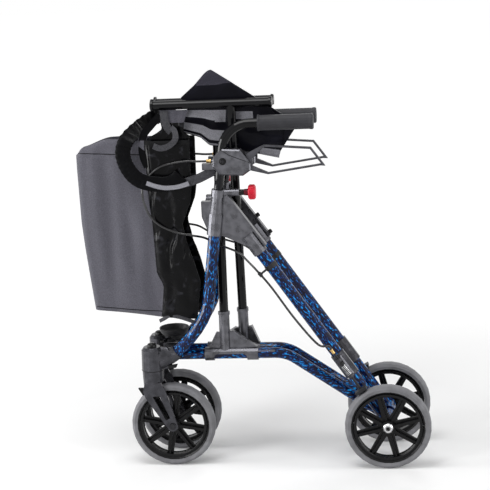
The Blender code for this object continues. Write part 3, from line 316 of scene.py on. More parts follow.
BLUE_LEAN = marbled_blue("marbled_blue_front", math.pi / 2 - LEAN)
BLUE_LEVEL = marbled_blue("marbled_blue_base", 0.0)
BLUE_SLOPE = marbled_blue("marbled_blue_diagonal", -DIAGONAL)
CASTING = casting("grey_casting", (0.115, 0.115, 0.128), 0.75, 0.30)
DARK_CASTING = casting("dark_casting", (0.058, 0.058, 0.066), 0.80, 0.20)
LEVER_PAINT = casting("lever_paint", (0.070, 0.070, 0.080), 0.6, 0.34)
DARK_BOLT = casting("dark_bolt", (0.030, 0.030, 0.033), 0.8, 0.24)
BLACK_GLOSS = black_gloss()
RIM_PLASTIC = moulding("rim_plastic", (0.003, 0.003, 0.0035), 0.26)
SOFT_PLASTIC = moulding("black_plastic", (0.016, 0.016, 0.018), 0.45)
TYRE_RUBBER = moulding("tyre_rubber", (0.165, 0.165, 0.175), 0.62, 0.0016, 0.00015)
GRIP_RUBBER = moulding("grip_rubber", (0.028, 0.028, 0.032), 0.55, 0.0010, 0.00012)
CABLE_PLASTIC = moulding("cable_sleeve", (0.012, 0.012, 0.013), 0.22, 0.002, 0.00003, 0.5)
KNOB_RED = moulding("knob_red", (0.52, 0.012, 0.030), 0.38, 0.0014, 0.00008)
# The knob's red, darkened as painted shade for its neck.
KNOB_RED_SHADED = moulding("knob_red_painted_shade", (0.085, 0.004, 0.010), 0.40, 0.0014, 0.00008)
STEEL = bright_steel()
BRASS = casting("brass", (0.62, 0.42, 0.16), 1.0, 0.3)
BAG_GREY = woven("bag_textile", (0.060, 0.059, 0.073), (0.091, 0.089, 0.108), 0.0016, 0.8, 0.0004, 0.15)
# Grey cloth that stands in for light: a painted highlight on the seat's upturned folds and on the backrest
# band's lowest turn.
HIGHLIGHT_GREY = woven("painted_highlight_grey", (0.17, 0.17, 0.19), (0.27, 0.27, 0.30), 0.0014, 0.5, 0.0003)
# The gusset's crease ridges get a strong painted highlight, nine times its tone.
BAG_BLACK = coated("bag_gusset", (0.0025, 0.0025, 0.003), 0.24, 0.13, 0.040, 0.004, 9.0)
BAG_BINDING = woven("bag_binding", (0.003, 0.003, 0.003), (0.006, 0.006, 0.007), 0.0012, 0.9, 0.0002)
SEAT_BLACK = coated("seat_cloth", (0.005, 0.005, 0.008), 0.30, 0.05, 0.06, 0.002)
# Grey painted on the ridge's peak as the sheen of light it catches.
SEAT_PEAK_SHEEN = woven("seat_peak_painted_sheen", (0.016, 0.015, 0.023), (0.028, 0.027, 0.038), 0.0014, 0.6, 0.0002)
STRAP_BLACK = coated("strap_cover", (0.002, 0.002, 0.0026), 0.36, 0.035, 0.012, 0.002)
WEBBING = woven("webbing", (0.030, 0.030, 0.034), (0.055, 0.055, 0.062), 0.0024, 0.6, 0.0006)

CAD_FINISH = {
    "front_tube": BLUE_LEAN, "base_tube": BLUE_LEVEL, "diagonal_tube": BLUE_SLOPE,
    "top_bracket": CASTING, "brace_foot": CASTING, "brake_housing": CASTING,
    "caster_head": DARK_CASTING, "caster_fork": DARK_CASTING, "brake_bracket": DARK_CASTING,
    "handle_tube": BLACK_GLOSS, "brace_tube": BLACK_GLOSS, "seat_rail": BLACK_GLOSS,
    "front_tyre": TYRE_RUBBER, "rear_tyre": TYRE_RUBBER, "grip": GRIP_RUBBER,
    "front_rim": RIM_PLASTIC, "rear_rim": RIM_PLASTIC, "brake_plunger": SOFT_PLASTIC,
    "front_axle": DARK_BOLT, "rear_axle": STEEL, "brake_lever": LEVER_PAINT, "height_knob": KNOB_RED}

for label in SIDES:
    for stem, paint in CAD_FINISH.items():
        NODES[f"{stem}_{label}"].material_slots[0].material = paint
NODES["pivot_bolt"].material_slots[0].material = STEEL


# Mesh helpers

def shown(name, bm, paints, body=None, smooth=40):
    """Turns a bmesh into a shown piece with its materials."""
    bmesh.ops.recalc_face_normals(bm, faces=bm.faces)
    mesh = bpy.data.meshes.new(name)
    bm.to_mesh(mesh)
    bm.free()
    made = bpy.data.objects.new(name, mesh)
    bpy.context.scene.collection.objects.link(made)
    for paint in paints if isinstance(paints, (list, tuple)) else [paints]:
        mesh.materials.append(paint)
    mesh.shade_smooth()
    mesh.set_sharp_from_angle(angle=math.radians(smooth))
    if body is not None:
        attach(made, body)
    return made


def join_rings(bm, rings, ends=True):
    """Faces between rings of vertices, and over both ends where wanted."""
    for low, high in zip(rings, rings[1:]):
        for k in range(len(low)):
            n = (k + 1) % len(low)
            bm.faces.new((low[k], low[n], high[n], high[k]))
    if ends:
        bm.faces.new(rings[0][::-1])
        bm.faces.new(rings[-1])


def round_ring(bm, centre, across, third, radius, sides):
    """A ring of vertices round a centre, in the plane of two axes."""
    turns = [2 * math.pi * k / sides for k in range(sides)]
    return [bm.verts.new(centre + (across * math.cos(t) + third * math.sin(t)) * radius) for t in turns]


def tube(bm, path, radius, sides=10, across=(0, 1, 0)):
    """A closed round tube along a path, added to bm."""
    across = Vector(across)
    rings = []
    for i, point in enumerate(path):
        ahead = (path[min(i + 1, len(path) - 1)] - path[max(i - 1, 0)]).normalized()
        level = (across - ahead * ahead.dot(across)).normalized()
        rings.append(round_ring(bm, point, level, level.cross(ahead), radius, sides))
    join_rings(bm, rings)


def turned(name, at, axis, profile, sides, paint, body):
    """A turned piece: rows of (distance along the axis, radius) round a line."""
    axis = Vector(axis).normalized()
    across = axis.orthogonal().normalized()
    bm = bmesh.new()
    join_rings(bm, [round_ring(bm, Vector(at) + axis * along, across, axis.cross(across), radius, sides)
                    for along, radius in profile])
    shown(name, bm, paint, body=body, smooth=35)


def turned_head(name, at, axis, radius, depth, paint, body, dish=0.0):
    """A low round head with a rounded edge and, where wanted, a dished middle."""
    profile = [(-0.0004, radius * 0.98), (depth * 0.6, radius), (depth * 0.9, radius * 0.95),
               (depth, radius * 0.82), (depth - dish, radius * 0.66), (depth - dish, radius * 0.2)]
    turned(name, at, axis, profile, 24, paint, body)


def soften(bm, width):
    """Rounds every edge of a hard-edged form."""
    bmesh.ops.recalc_face_normals(bm, faces=bm.faces)
    bmesh.ops.bevel(bm, geom=list(bm.edges), offset=width, segments=2, affect="EDGES")


def skin(front, back, paint_of=None):
    """A closed body between two grids of points of one size."""
    bm = bmesh.new()
    rows, cols = len(front), len(front[0])
    near = [[bm.verts.new(p) for p in row] for row in front]
    far = [[bm.verts.new(p) for p in row] for row in back]

    def face(corners, i, j):
        """One face, with the paint of its place on the grid."""
        made = bm.faces.new(corners)
        made.material_index = paint_of(i, j) if paint_of else 0

    for i in range(rows - 1):
        for j in range(cols - 1):
            face((near[i][j], near[i + 1][j], near[i + 1][j + 1], near[i][j + 1]), i, j)
            face((far[i][j], far[i][j + 1], far[i + 1][j + 1], far[i + 1][j]), i, j)
    for i in range(rows - 1):
        face((near[i][0], far[i][0], far[i + 1][0], near[i + 1][0]), i, 0)
        face((near[i][-1], near[i + 1][-1], far[i + 1][-1], far[i][-1]), i, cols - 2)
    for j in range(cols - 1):
        face((near[0][j], near[0][j + 1], far[0][j + 1], far[0][j]), 0, j)
        face((near[-1][j], far[-1][j], far[-1][j + 1], near[-1][j + 1]), rows - 2, j)
    return bm


def thickened(grid, thick):
    """The grid moved along its own normals by a thickness."""
    rows, cols = len(grid), len(grid[0])
    moved = []
    for i in range(rows):
        line = []
        for j in range(cols):
            along = grid[min(i + 1, rows - 1)][j] - grid[max(i - 1, 0)][j]
            across = grid[i][min(j + 1, cols - 1)] - grid[i][max(j - 1, 0)]
            line.append(grid[i][j] + along.cross(across).normalized() * thick)
        moved.append(line)
    return moved


def mix(first, second, share):
    """The value at a share of the way from the first to the second."""
    return first + (second - first) * share


def ease(value, low, high):
    """A smooth step from 0 at low to 1 at high."""
    t = min(1.0, max(0.0, (value - low) / (high - low)))
    return t * t * (3 - 2 * t)


def bell(value, middle, reach):
    """A bell that is 1 at the middle."""
    return math.exp(-((value - middle) / reach) ** 2)


def value_at(table, z):
    """The value that a table of (z, value) rows, lowest first, gives at a height."""
    for (low, a), (high, b) in zip(table, table[1:]):
        if z <= high:
            return a + (b - a) * max(0.0, (z - low) / (high - low))
    return table[-1][1]


def unevenness(point, seed, size, depth):
    """Seeded soft unevenness of hanging cloth."""
    return noise.noise(Vector(point) / size + Vector((seed, seed * 1.7, seed * 0.3))) * depth


def step_lengths(points):
    """The lengths of the steps along a line of points."""
    return [(Vector(b) - Vector(a)).length for a, b in zip(points, points[1:])]


def point_along(points, share):
    """The point at a share of the way along a line of points."""
    steps = step_lengths(points)
    left = share * sum(steps)
    for a, b, step in zip(points, points[1:], steps):
        if left <= step or b is points[-1]:
            return Vector(a).lerp(Vector(b), min(1.0, left / max(step, 1e-9)))
        left -= step


def smooth_route(points, count):
    """A smooth curve through given points."""
    points = [Vector(p) for p in points]
    padded = [2 * points[0] - points[1]] + points + [2 * points[-1] - points[-2]]
    spans = len(points) - 1
    path = []
    for i in range(count + 1):
        at = min(i / count * spans, spans - 1e-6)
        k = int(at)
        t = at - k
        a, b, c, d = padded[k:k + 4]
        path.append(0.5 * (2 * b + (c - a) * t + (2 * a - 5 * b + 4 * c - d) * t * t
                           + (3 * b - a - 3 * c + d) * t ** 3))
    return path


def diagonal_point(distance, side, outboard=0.0):
    """The point on a diagonal tube's axis at a distance from the rear axle."""
    return REAR_AXLE + Vector((0, side * (FRAME_Y + outboard), 0)) + UP_DIAGONAL * distance


# Camera, floor and lights

CAMERA_YAW, CAMERA_TILT, CAMERA_ROLL = 0.1171, 0.2061, -0.0481
CAMERA_PLACE = (0.3772, -3.35, 1.2241)
CAMERA_LENS = 107.65
ROOM_LIGHT = 0.27
FLOOR_EDGES = {"x": (-14, 14), "y": (-10, 24)}
FLOOR_LIFT = {"From Min": 0.7, "From Max": 3.2, "To Min": 0.05, "To Max": 0.79}


def set_camera():
    """The camera that was fitted to the photograph."""
    flat = Vector((-math.sin(CAMERA_YAW), math.cos(CAMERA_YAW), 0))
    ahead = flat * math.cos(CAMERA_TILT) - Vector((0, 0, math.sin(CAMERA_TILT)))
    level = ahead.cross(Vector((0, 0, 1))).normalized()
    rise = level.cross(ahead)
    right = level * math.cos(CAMERA_ROLL) + rise * math.sin(CAMERA_ROLL)
    up = rise * math.cos(CAMERA_ROLL) - level * math.sin(CAMERA_ROLL)
    lens = bpy.data.cameras.new("camera")
    lens.lens = CAMERA_LENS
    lens.sensor_width = 36
    lens.clip_end = 60
    eye = bpy.data.objects.new("camera", lens)
    place = Matrix((right, up, -ahead)).transposed().to_4x4()
    place.translation = CAMERA_PLACE
    eye.matrix_world = place
    bpy.context.scene.collection.objects.link(eye)
    bpy.context.scene.camera = eye
    bpy.context.scene.view_settings.view_transform = "Standard"


def seen_directly(tree):
    """1 for what the camera sees, straight or in a gloss, and 0 for the light that falls on things."""
    rays = node(tree, "ShaderNodeLightPath")
    both = maths(tree, "MAXIMUM", rays.outputs["Is Camera Ray"], rays.outputs["Is Glossy Ray"])
    return maths(tree, "MAXIMUM", both, rays.outputs["Is Transmission Ray"])


def set_floor():
    """Wide white floor: it keeps the soft shadow, and is lifted to white where nothing shades it."""
    (left, right), (front, back) = FLOOR_EDGES["x"], FLOOR_EDGES["y"]
    bm = bmesh.new()
    corners = ((left, front, 0), (right, front, 0), (right, back, 0), (left, back, 0))
    bm.faces.new([bm.verts.new(p) for p in corners])
    made, tree, shader = new_material("studio_white", Base_Color=(0.8, 0.8, 0.8), Roughness=1.0,
                                      Specular_IOR_Level=0.0, Emission_Color=(1.0, 1.0, 1.0))
    distance = node(tree, "ShaderNodeVectorMath", operation="LENGTH")
    tree.links.new(object_place(tree), distance.inputs[0])
    lift = node(tree, "ShaderNodeMapRange")
    for label, limit in FLOOR_LIFT.items():
        lift.inputs[label].default_value = limit
    tree.links.new(distance.outputs["Value"], lift.inputs["Value"])
    tree.links.new(maths(tree, "MULTIPLY", seen_directly(tree), lift.outputs["Result"]),
                   shader.inputs["Emission Strength"])
    shown("studio_floor", bm, made)


def lamp(name, place, aim, size, power):
    """A soft rectangular lamp, turned towards its aim."""
    light = bpy.data.lights.new(name, "AREA")
    light.shape = "RECTANGLE"
    light.size, light.size_y = size
    light.energy = power
    made = bpy.data.objects.new(name, light)
    made.location = place
    made.rotation_euler = (Vector(aim) - Vector(place)).to_track_quat("-Z", "Y").to_euler()
    bpy.context.scene.collection.objects.link(made)


def set_lights():
    """White surroundings that light weakly, and six lamps."""
    world = bpy.data.worlds.new("studio")
    bpy.context.scene.world = world
    world.use_nodes = True
    tree = world.node_tree
    back = tree.nodes["Background"]
    back.inputs["Color"].default_value = (1.0, 1.0, 1.0, 1)
    strength = maths(tree, "MULTIPLY_ADD", seen_directly(tree), 1 - ROOM_LIGHT, ROOM_LIGHT)
    tree.links.new(strength, back.inputs["Strength"])
    lamp("top_box", (-0.4, -0.5, 2.5), (0, 0, 0.4), (1.3, 1.0), 29)
    lamp("left_box", (-1.8, -1.9, 1.1), (-0.1, 0, 0.5), (0.75, 1.7), 30)
    lamp("right_box", (1.9, -1.6, 1.2), (0, 0, 0.5), (0.40, 1.7), 13)
    lamp("left_edge_box", (-2.6, -0.25, 0.8), (-0.1, 0, 0.5), (1.0, 1.2), 46)
    lamp("right_edge_box", (2.6, -0.25, 0.8), (0.1, 0, 0.5), (0.7, 1.2), 26)
    lamp("back_strip", (0.6, 2.0, 1.8), (0, 0, 0.5), (1.2, 0.3), 14)


set_camera()
set_floor()
set_lights()


# Brake cables

CABLE_RADIUS = 0.0026


def brake_cable(label, side):
    """A sleeve from the handle's adjuster, looped past the bag and run down to the rear brake."""
    start_x, start_z = CABLE_START
    level = side * FRAME_Y
    out = side * (FRAME_Y + 0.003)
    away = side * (FRAME_Y + CABLE_OUT)
    inner = side * (FRAME_Y - 0.0215)
    end = diagonal_point(BRAKE_CENTRE + BRAKE_LENGTH / 2 + 0.0075, side, BRAKE_OUT)
    points = [(start_x, level, start_z), (-0.1089, level, start_z), (-0.1459, out, 0.7300),
              (-0.1988, out, 0.7187), (-0.2332, out, 0.6895), (-0.2427, out, 0.6656), (-0.2397, out, 0.6340),
              (-0.2260, out, 0.6021), (-0.2013, out, 0.5793), (-0.1668, out, 0.5645),
              (-0.1352, side * (FRAME_Y + 0.002), 0.5572), (-0.1101, side * (FRAME_Y - 0.016), 0.5480),
              (-0.0935, inner, 0.5391), (-0.0728, inner, 0.5280),
              (-0.0281, side * (FRAME_Y - 0.012), 0.5110), (-0.0088, level, 0.4958), (0.0195, away, 0.4701),
              (0.0502, away, 0.4310), (0.0989, away, 0.3586), (0.1499, away, 0.2959),
              end + UP_DIAGONAL * 0.022, end]
    path = smooth_route(points, 120)
    length = sum(step_lengths(path))
    bm = bmesh.new()
    tube(bm, path, CABLE_RADIUS)
    cable = shown(f"brake_cable_{label}", bm, CABLE_PLASTIC)
    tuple(points[0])
    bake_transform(cable)
    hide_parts(f"brake_cable_upper_{label}", f"brake_cable_lower_{label}")


for label, side in SIDES.items():
    brake_cable(label, side)


# Seat cloth: a pleated wing under each rail, joined below, and the ridge that stands between the rails

SEAT_TOP_Z = RAIL_Z - 0.0120
SEAT_CREASE = [(-0.1600, 0, 0.7962), (-0.1084, 0, 0.7796), (-0.0886, 0, 0.7608), (-0.0582, 0, 0.7560),
               (0.0100, 0, 0.7405), (0.0725, 0, 0.7262)]
SLING_COLS, WING_ROWS, STRIP_ROWS = 44, 22, 12
WING_FRONT_X = -0.1350
WING_LENGTH = 0.1900
WING_TOP_Y = 0.0129
WING_LOW_Y = 0.0045
WING_LEAST_Y = 0.0041
WING_PLEATS = ((0.33, 1.0), (0.86, 0.8))
WING_FRONT_PLEATS_END = (-0.0700, -0.0480)
WING_REAR_PLEATS_START = (-0.0120, 0.0150)
WING_REAR_FLARE = 0.0230
PLEAT_FRONT_DEPTH = 0.0085
PLEAT_REAR_DEPTH = 0.0050
PLEAT_REACH = 0.25
SLING_THICK = 0.0011
RIDGE_TOP = [(-0.1496, 0, 0.8712), (-0.1160, 0, 0.8995), (-0.0919, 0, 0.9256), (-0.0798, 0, 0.9335),
             (-0.0760, 0, 0.9326), (-0.0472, 0, 0.9136), (0.0114, 0, 0.8745), (0.0650, 0, 0.8380),
             (0.1190, 0, 0.8010)]
RIDGE_FOOT = [(-0.1196, 0, 0.8125), (-0.0955, 0, 0.7905), (-0.0500, 0, 0.7810), (0.0060, 0, 0.7730),
              (0.0400, 0, 0.7520), (0.0702, 0, 0.7300)]
RIDGE_COLS, RIDGE_ROWS, RIDGE_HEM_ROW = 48, 20, 14
RIDGE_HALF_FLAPS = 0.0036
RIDGE_HALF_PEAK = 0.0021
RIDGE_HALF_EDGE = 0.0009
RIDGE_HEM_Z = 0.8975


def wing_point(u, b, side):
    """Point of one seat wing: u from the front to the rear, b from the rail down to the crease."""
    top = Vector((WING_FRONT_X + WING_LENGTH * u, 0, SEAT_TOP_Z))
    at = top.lerp(point_along(SEAT_CREASE, u), b)
    at.x += WING_REAR_FLARE * ease(u, 0.82, 1.0) * math.sin(math.pi * b) * (1 - 0.3 * b)
    front_room = 1 - ease(at.x, *WING_FRONT_PLEATS_END)
    rear_room = ease(at.x, *WING_REAR_PLEATS_START)
    pleat = sum(height * max(0.0, 1 - abs(b - peak) / PLEAT_REACH) for peak, height in WING_PLEATS)
    out = mix(WING_TOP_Y, WING_LOW_Y, ease(b, 0.0, 1.0))
    out += pleat * (PLEAT_FRONT_DEPTH * front_room + PLEAT_REAR_DEPTH * rear_room * ease(b, 0.0, 0.3))
    out += unevenness(at, 3.0 + side, 0.035, 0.0012) * math.sin(math.pi * b)
    return Vector((at.x, side * max(WING_LEAST_Y, out), at.z))


def seat_sling():
    """Both wings and the narrow strip that joins them under the ridge, as one cloth."""
    grid = []
    for i in range(SLING_COLS + 1):
        u = i / SLING_COLS
        line = [wing_point(u, k / WING_ROWS, SIDES["left"]) for k in range(WING_ROWS + 1)]
        low = line[-1]
        for k in range(1, STRIP_ROWS):
            t = k / STRIP_ROWS
            line.append(Vector((low.x, low.y * (1 - 2 * t), low.z - 0.0030 * math.sin(math.pi * t))))
        line += [wing_point(u, 1 - k / WING_ROWS, SIDES["right"]) for k in range(WING_ROWS + 1)]
        grid.append(line)

    def paint_of(i, j):
        """Painted highlight: grey on the wings' folds that face up and catch the light."""
        whole = 2 * WING_ROWS + STRIP_ROWS
        b = min(j, whole - 1 - j) / WING_ROWS
        u = i / SLING_COLS
        if u > 0.80 and b > 0.86:
            return 1
        if u < 0.46:
            return 1 if 0.04 < b < 0.33 - 0.12 * (0.46 - u) or 0.58 <= b < 0.86 or 0.92 < b < 0.99 else 0
        return 1 if 0.56 < u < 0.78 and 0.05 < b < 0.24 else 0

    bm = skin(grid, thickened(grid, SLING_THICK), paint_of)
    made = shown("seat_sling", bm, [SEAT_BLACK, HIGHLIGHT_GREY], smooth=50)
    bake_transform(made)
    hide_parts("seat_wing_left", "seat_wing_right")


def seat_ridge():
    """The middle of the seat, folded up to a peak: two black flaps, and above their hem the peak's cloth
    painted grey as the sheen it catches.
    """
    near, far = [], []
    for i in range(RIDGE_COLS + 1):
        top = point_along(RIDGE_TOP, i / RIDGE_COLS)
        low = point_along(RIDGE_FOOT, i / RIDGE_COLS)
        hem_z = RIDGE_HEM_Z + 0.0040 * ease(top.x, -0.0700, -0.0400)
        hem = low.lerp(top, 0.985 if top.z < hem_z + 0.0020 else (hem_z - low.z) / (top.z - low.z))
        front, back = [], []
        for k in range(RIDGE_ROWS + 1):
            if k <= RIDGE_HEM_ROW:
                at = low.lerp(hem, k / RIDGE_HEM_ROW)
                half = RIDGE_HALF_FLAPS + unevenness(at, 7.0, 0.03, 0.0004)
            else:
                at = hem.lerp(top, (k - RIDGE_HEM_ROW) / (RIDGE_ROWS - RIDGE_HEM_ROW))
                half = RIDGE_HALF_PEAK
            if k in (0, RIDGE_ROWS):
                half = RIDGE_HALF_EDGE
            front.append(Vector((at.x, -half, at.z)))
            back.append(Vector((at.x, half, at.z)))
        near.append(front)
        far.append(back)

    def paint_of(i, j):
        """Painted sheen: grey above the flaps' hem, where the ridge is high and faces the light."""
        return 1 if j >= RIDGE_HEM_ROW and min(near[i][-1].z, near[i + 1][-1].z) > 0.9020 else 0

    made = shown("seat_ridge_cloth", skin(near, far, paint_of), [SEAT_BLACK, SEAT_PEAK_SHEEN],
                 body="centre_pivot", smooth=50)
    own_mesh(made)
    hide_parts("seat_ridge")


# Bag: each half is one shell, from the fold of the front panel round the corner to the rear of the side

BAG_TIP = [(0.3585, -0.3790), (0.3696, -0.3837), (0.5138, -0.3986), (0.5813, -0.4040), (0.7116, -0.4060),
           (0.7611, -0.4056)]
BAG_REAR = [(0.3525, -0.1320), (0.3890, -0.1284), (0.4411, -0.1200), (0.4800, -0.1300), (0.5316, -0.1463),
            (0.5808, -0.1560), (0.6317, -0.1350), (0.6600, -0.1310), (0.7640, -0.1292)]
BAG_CORNER = [(0.3585, -0.2180), (0.4359, -0.2080), (0.4655, -0.2226), (0.5296, -0.2245), (0.5816, -0.2256),
              (0.6277, -0.2300), (0.6674, -0.2320), (0.7640, -0.2350)]
BAG_FRONT_COLS, BAG_SIDE_COLS, BAG_ROWS = 30, 22, 46
BAG_HEM_TIP_Z, BAG_HEM_CORNER_Z, BAG_HEM_REAR_Z = 0.3696, 0.3590, 0.3530
BAG_TOP_TIP_Z, BAG_TOP_SIDE_Z = 0.7450, 0.7790
BAG_TIP_Y, BAG_SIDE_Y, BAG_INNER_Y = 0.0090, 0.0435, 0.0405
BAG_THICK = 0.0051
BAG_SAG_MOST = 0.0060
BAG_TOP_SEAM_Z, BAG_TOP_SEAM_FALL = 0.7500, 0.0040
BAG_LOW_SEAM_Z, BAG_LOW_SEAM_FALL = 0.3790, 0.0060
BAG_SEAM_RADIUS = 0.0010


def bag_front_point(s, v, side):
    """X, outer Y, inner Y and Z of the front panel: s from its fold to the corner, v from its hem up."""
    edge = math.sin(math.pi * v) ** 0.35
    low_z = mix(BAG_HEM_TIP_Z, BAG_HEM_CORNER_Z, s) + 0.0015 * math.sin(math.pi * s)
    high_z = BAG_TOP_TIP_Z + 0.0165 * ease(s, 0.0, 0.10) + 0.0210 * ease(s, 0.04, 0.50)
    z = mix(low_z, high_z - 0.0035 * ease(s, 0.6, 1.0), v)
    x = mix(value_at(BAG_TIP, z), value_at(BAG_CORNER, z), s)
    y = mix(BAG_TIP_Y, BAG_SIDE_Y, s) + 0.0040 * math.sin(math.pi * s) * edge
    y -= 0.0075 * (1 - ease(s, 0.0, 0.05))
    y -= 0.0016 * bell(z, BAG_TOP_SEAM_Z - BAG_TOP_SEAM_FALL * s, 0.0026)
    y -= 0.0012 * bell(z, BAG_LOW_SEAM_Z, 0.0024)
    sag = unevenness((x * 1.5, 0, z * 0.33), 11 + side, 0.058, 0.0085) * edge * ease(s, 0, 0.25)
    pull = math.sin((x * 0.9 + z * 0.30) * 82) * 0.0022 * ease(s, 0.35, 0.8) * edge
    y += min(sag + pull, BAG_SAG_MOST)
    return x, y, max(0.0007, y - BAG_THICK - 0.0050 * s * edge), z


def bag_side_point(s, v, side):
    """X, outer Y, inner Y and Z of the side: s from the corner to its rear edge, v from its hem up."""
    edge = math.sin(math.pi * v) ** 0.35
    low_z = mix(BAG_HEM_CORNER_Z, BAG_HEM_REAR_Z, s)
    z = mix(low_z, BAG_TOP_SIDE_Z - 0.0020 * ease(s, 0.0, 0.2), v)
    x = mix(value_at(BAG_CORNER, z), value_at(BAG_REAR, z), s)
    y = BAG_SIDE_Y + 0.0085 * ease(s, 0.0, 0.12) - 0.0045 * ease(s, 0.75, 1.0)
    pucker = unevenness((x * 2.6, 0, z * 0.85), 23 + side, 0.052, 0.0100) * edge
    pleat = 0.0042 * math.sin(x * 150 + 3.2 * math.sin(z * 17)) * ease(0.60 - z, 0.0, 0.06) * edge
    fan = 0.0036 * math.sin((z * 1.3 - x) * 90) * bell(z, 0.545, 0.035)
    y += min(0.0, pucker + pleat + fan) * ease(s, 0.0, 0.1)
    y_in = BAG_INNER_Y if s > 0.05 else BAG_INNER_Y - 0.0010
    return x, max(y, y_in + 0.0012), y_in, z


def column_at(column, z):
    """The point at a height on one upright line of the bag's outer face."""
    for low, high in zip(column, column[1:]):
        if low.z <= z <= high.z:
            return low.lerp(high, (z - low.z) / (high.z - low.z))
    return column[0] if z < column[0].z else column[-1]


def bag_half(label, side):
    """One half of the bag, and the seams across its front panel."""
    outer, inner = [], []
    for i in range(BAG_FRONT_COLS + BAG_SIDE_COLS + 1):
        out_line, in_line = [], []
        for k in range(BAG_ROWS + 1):
            v = k / BAG_ROWS
            if i <= BAG_FRONT_COLS:
                x, y, y_in, z = bag_front_point(i / BAG_FRONT_COLS, v, side)
            else:
                x, y, y_in, z = bag_side_point((i - BAG_FRONT_COLS) / BAG_SIDE_COLS, v, side)
            if k in (0, BAG_ROWS):
                y = mix(y_in, y, 0.45)
            out_line.append(Vector((x, side * y, z)))
            in_line.append(Vector((x, side * y_in, z)))
        outer.append(out_line)
        inner.append(in_line)

    def paint_of(i, j):
        """Grey front, black side, and binding round the side's edges."""
        if i < BAG_FRONT_COLS:
            return 0
        return 2 if i == BAG_FRONT_COLS + BAG_SIDE_COLS - 1 or j in (0, BAG_ROWS - 1) else 1

    made = shown(f"bag_cloth_{label}", skin(outer, inner, paint_of), [BAG_GREY, BAG_BLACK, BAG_BINDING],
                 smooth=70)
    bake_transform(made)
    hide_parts(f"bag_side_{label}", f"bag_front_{label}")
    for place, seam_z, fall in (("top", BAG_TOP_SEAM_Z, BAG_TOP_SEAM_FALL),
                                ("bottom", BAG_LOW_SEAM_Z, BAG_LOW_SEAM_FALL)):
        line = [column_at(column, seam_z - fall * i / BAG_FRONT_COLS)
                for i, column in enumerate(outer[1:BAG_FRONT_COLS + 1], 1)]
        seam = bmesh.new()
        tube(seam, line, BAG_SEAM_RADIUS, 6, across=(0, 0, 1))
        piece = shown(f"bag_seam_{place}_{label}", seam, BAG_BINDING)
        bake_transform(piece)


# Backrest strap: a gathered padded band on each side, folded over to meet at the middle

# For each side, the angles in degrees at the band's start, fold and tip, and its steps up to the fold
STRAP_RUNS = {"left": (318, 150, 127, 60), "right": (47, 107, 131, 24)}
STRAP_FOLD_STEPS = 14
STRAP_RADIUS = 0.0735
STRAP_HALF_WIDTH = 0.0180
STRAP_HALF_THICK = 0.0046
STRAP_INNER_Y = 0.0034
STRAP_OUTER_Y = FRAME_Y + 0.0120
STRAP_RING = 28
GATHERS = 46


def strap_run(label):
    """Angles round the ring, each with a share from 1, outboard, to 0, where the halves meet."""
    start, turn, tip, steps = STRAP_RUNS[label]
    run = [(math.radians(mix(start, turn, i / steps)), 1.0) for i in range(steps + 1)]
    folded = [i / STRAP_FOLD_STEPS for i in range(1, STRAP_FOLD_STEPS + 1)]
    return run + [(math.radians(mix(turn, tip, share)), 1 - share) for share in folded]


def strap_half(label, side):
    """The padded band, with gathers across it, as a closed flattened tube."""
    run = strap_run(label)
    bm = bmesh.new()
    rings = []
    for n, (angle, outboard) in enumerate(run):
        radial = Vector((math.cos(angle), 0, math.sin(angle)))
        # The ring bulges forward, and is a little flat at its low front.
        radius = STRAP_RADIUS + 0.0010 * math.sin(angle * 5)
        radius += 0.0030 * bell(angle, math.pi, 0.45) - 0.0050 * bell(angle, math.radians(255), 0.55)
        y = side * mix(STRAP_INNER_Y, STRAP_OUTER_Y, outboard)
        centre = Vector((STRAP_CENTRE[0], y, STRAP_CENTRE[1])) + radial * radius
        gather = 0.5 + 0.5 * math.cos(angle - math.radians(125))
        half_width = STRAP_HALF_WIDTH + 0.0009 * math.sin(angle * GATHERS) * gather
        half_thick = STRAP_HALF_THICK - 0.0017 * (1 - outboard)
        half_thick *= 0.80 + 0.20 * math.sin(angle * GATHERS + 1) * gather
        if n in (0, len(run) - 1):
            half_width *= 0.94
            half_thick *= 0.7
        ring = []
        for k in range(STRAP_RING):
            turn = 2 * math.pi * k / STRAP_RING
            across = math.copysign(abs(math.cos(turn)) ** 0.55, math.cos(turn))
            deep = math.copysign(abs(math.sin(turn)) ** 0.75, math.sin(turn))
            ruffle = 1 + 0.16 * gather * math.sin(angle * GATHERS + across * 1.2)
            out = Vector((0, side, 0)) * deep * half_thick * ruffle
            ring.append(bm.verts.new(centre + radial * across * half_width + out))
        rings.append(ring)
    join_rings(bm, rings)
    made = shown(f"backrest_band_{label}", bm, STRAP_BLACK, smooth=75)
    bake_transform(made)
    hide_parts(f"backrest_strap_{label}", f"backrest_fold_{label}")


# Webbing, ties and the bag's flap

STRAP_STATIONS = (-0.5, -0.44, -0.2, 0.0, 0.2, 0.44, 0.5)
LOOP_X, LOOP_Z = -0.0935, 0.7130
LOOP_WIDTH, LOOP_DROP = 0.022, 0.014
LOOP_WIRE = 0.0017
RAIL_WEB_Y = -0.0290
FLAP_FRONT = [(0.7720, -0.2300), (0.7815, -0.2300), (0.7903, -0.2137), (0.7947, -0.2054), (0.8030, -0.1941),
              (0.8231, -0.1970), (0.8456, -0.1971)]
FLAP_REAR = [(0.7720, -0.1330), (0.7863, -0.1307), (0.7950, -0.1440), (0.8187, -0.1410), (0.8456, -0.1310)]
FLAP_LOW_Z, FLAP_TOP_Z = 0.7720, 0.8455
FLAP_Y = -0.0262
FLAP_COLS, FLAP_ROWS = 24, 20
FLAP_GREY_FROM = 0.55
TIE_Y = 0.0500


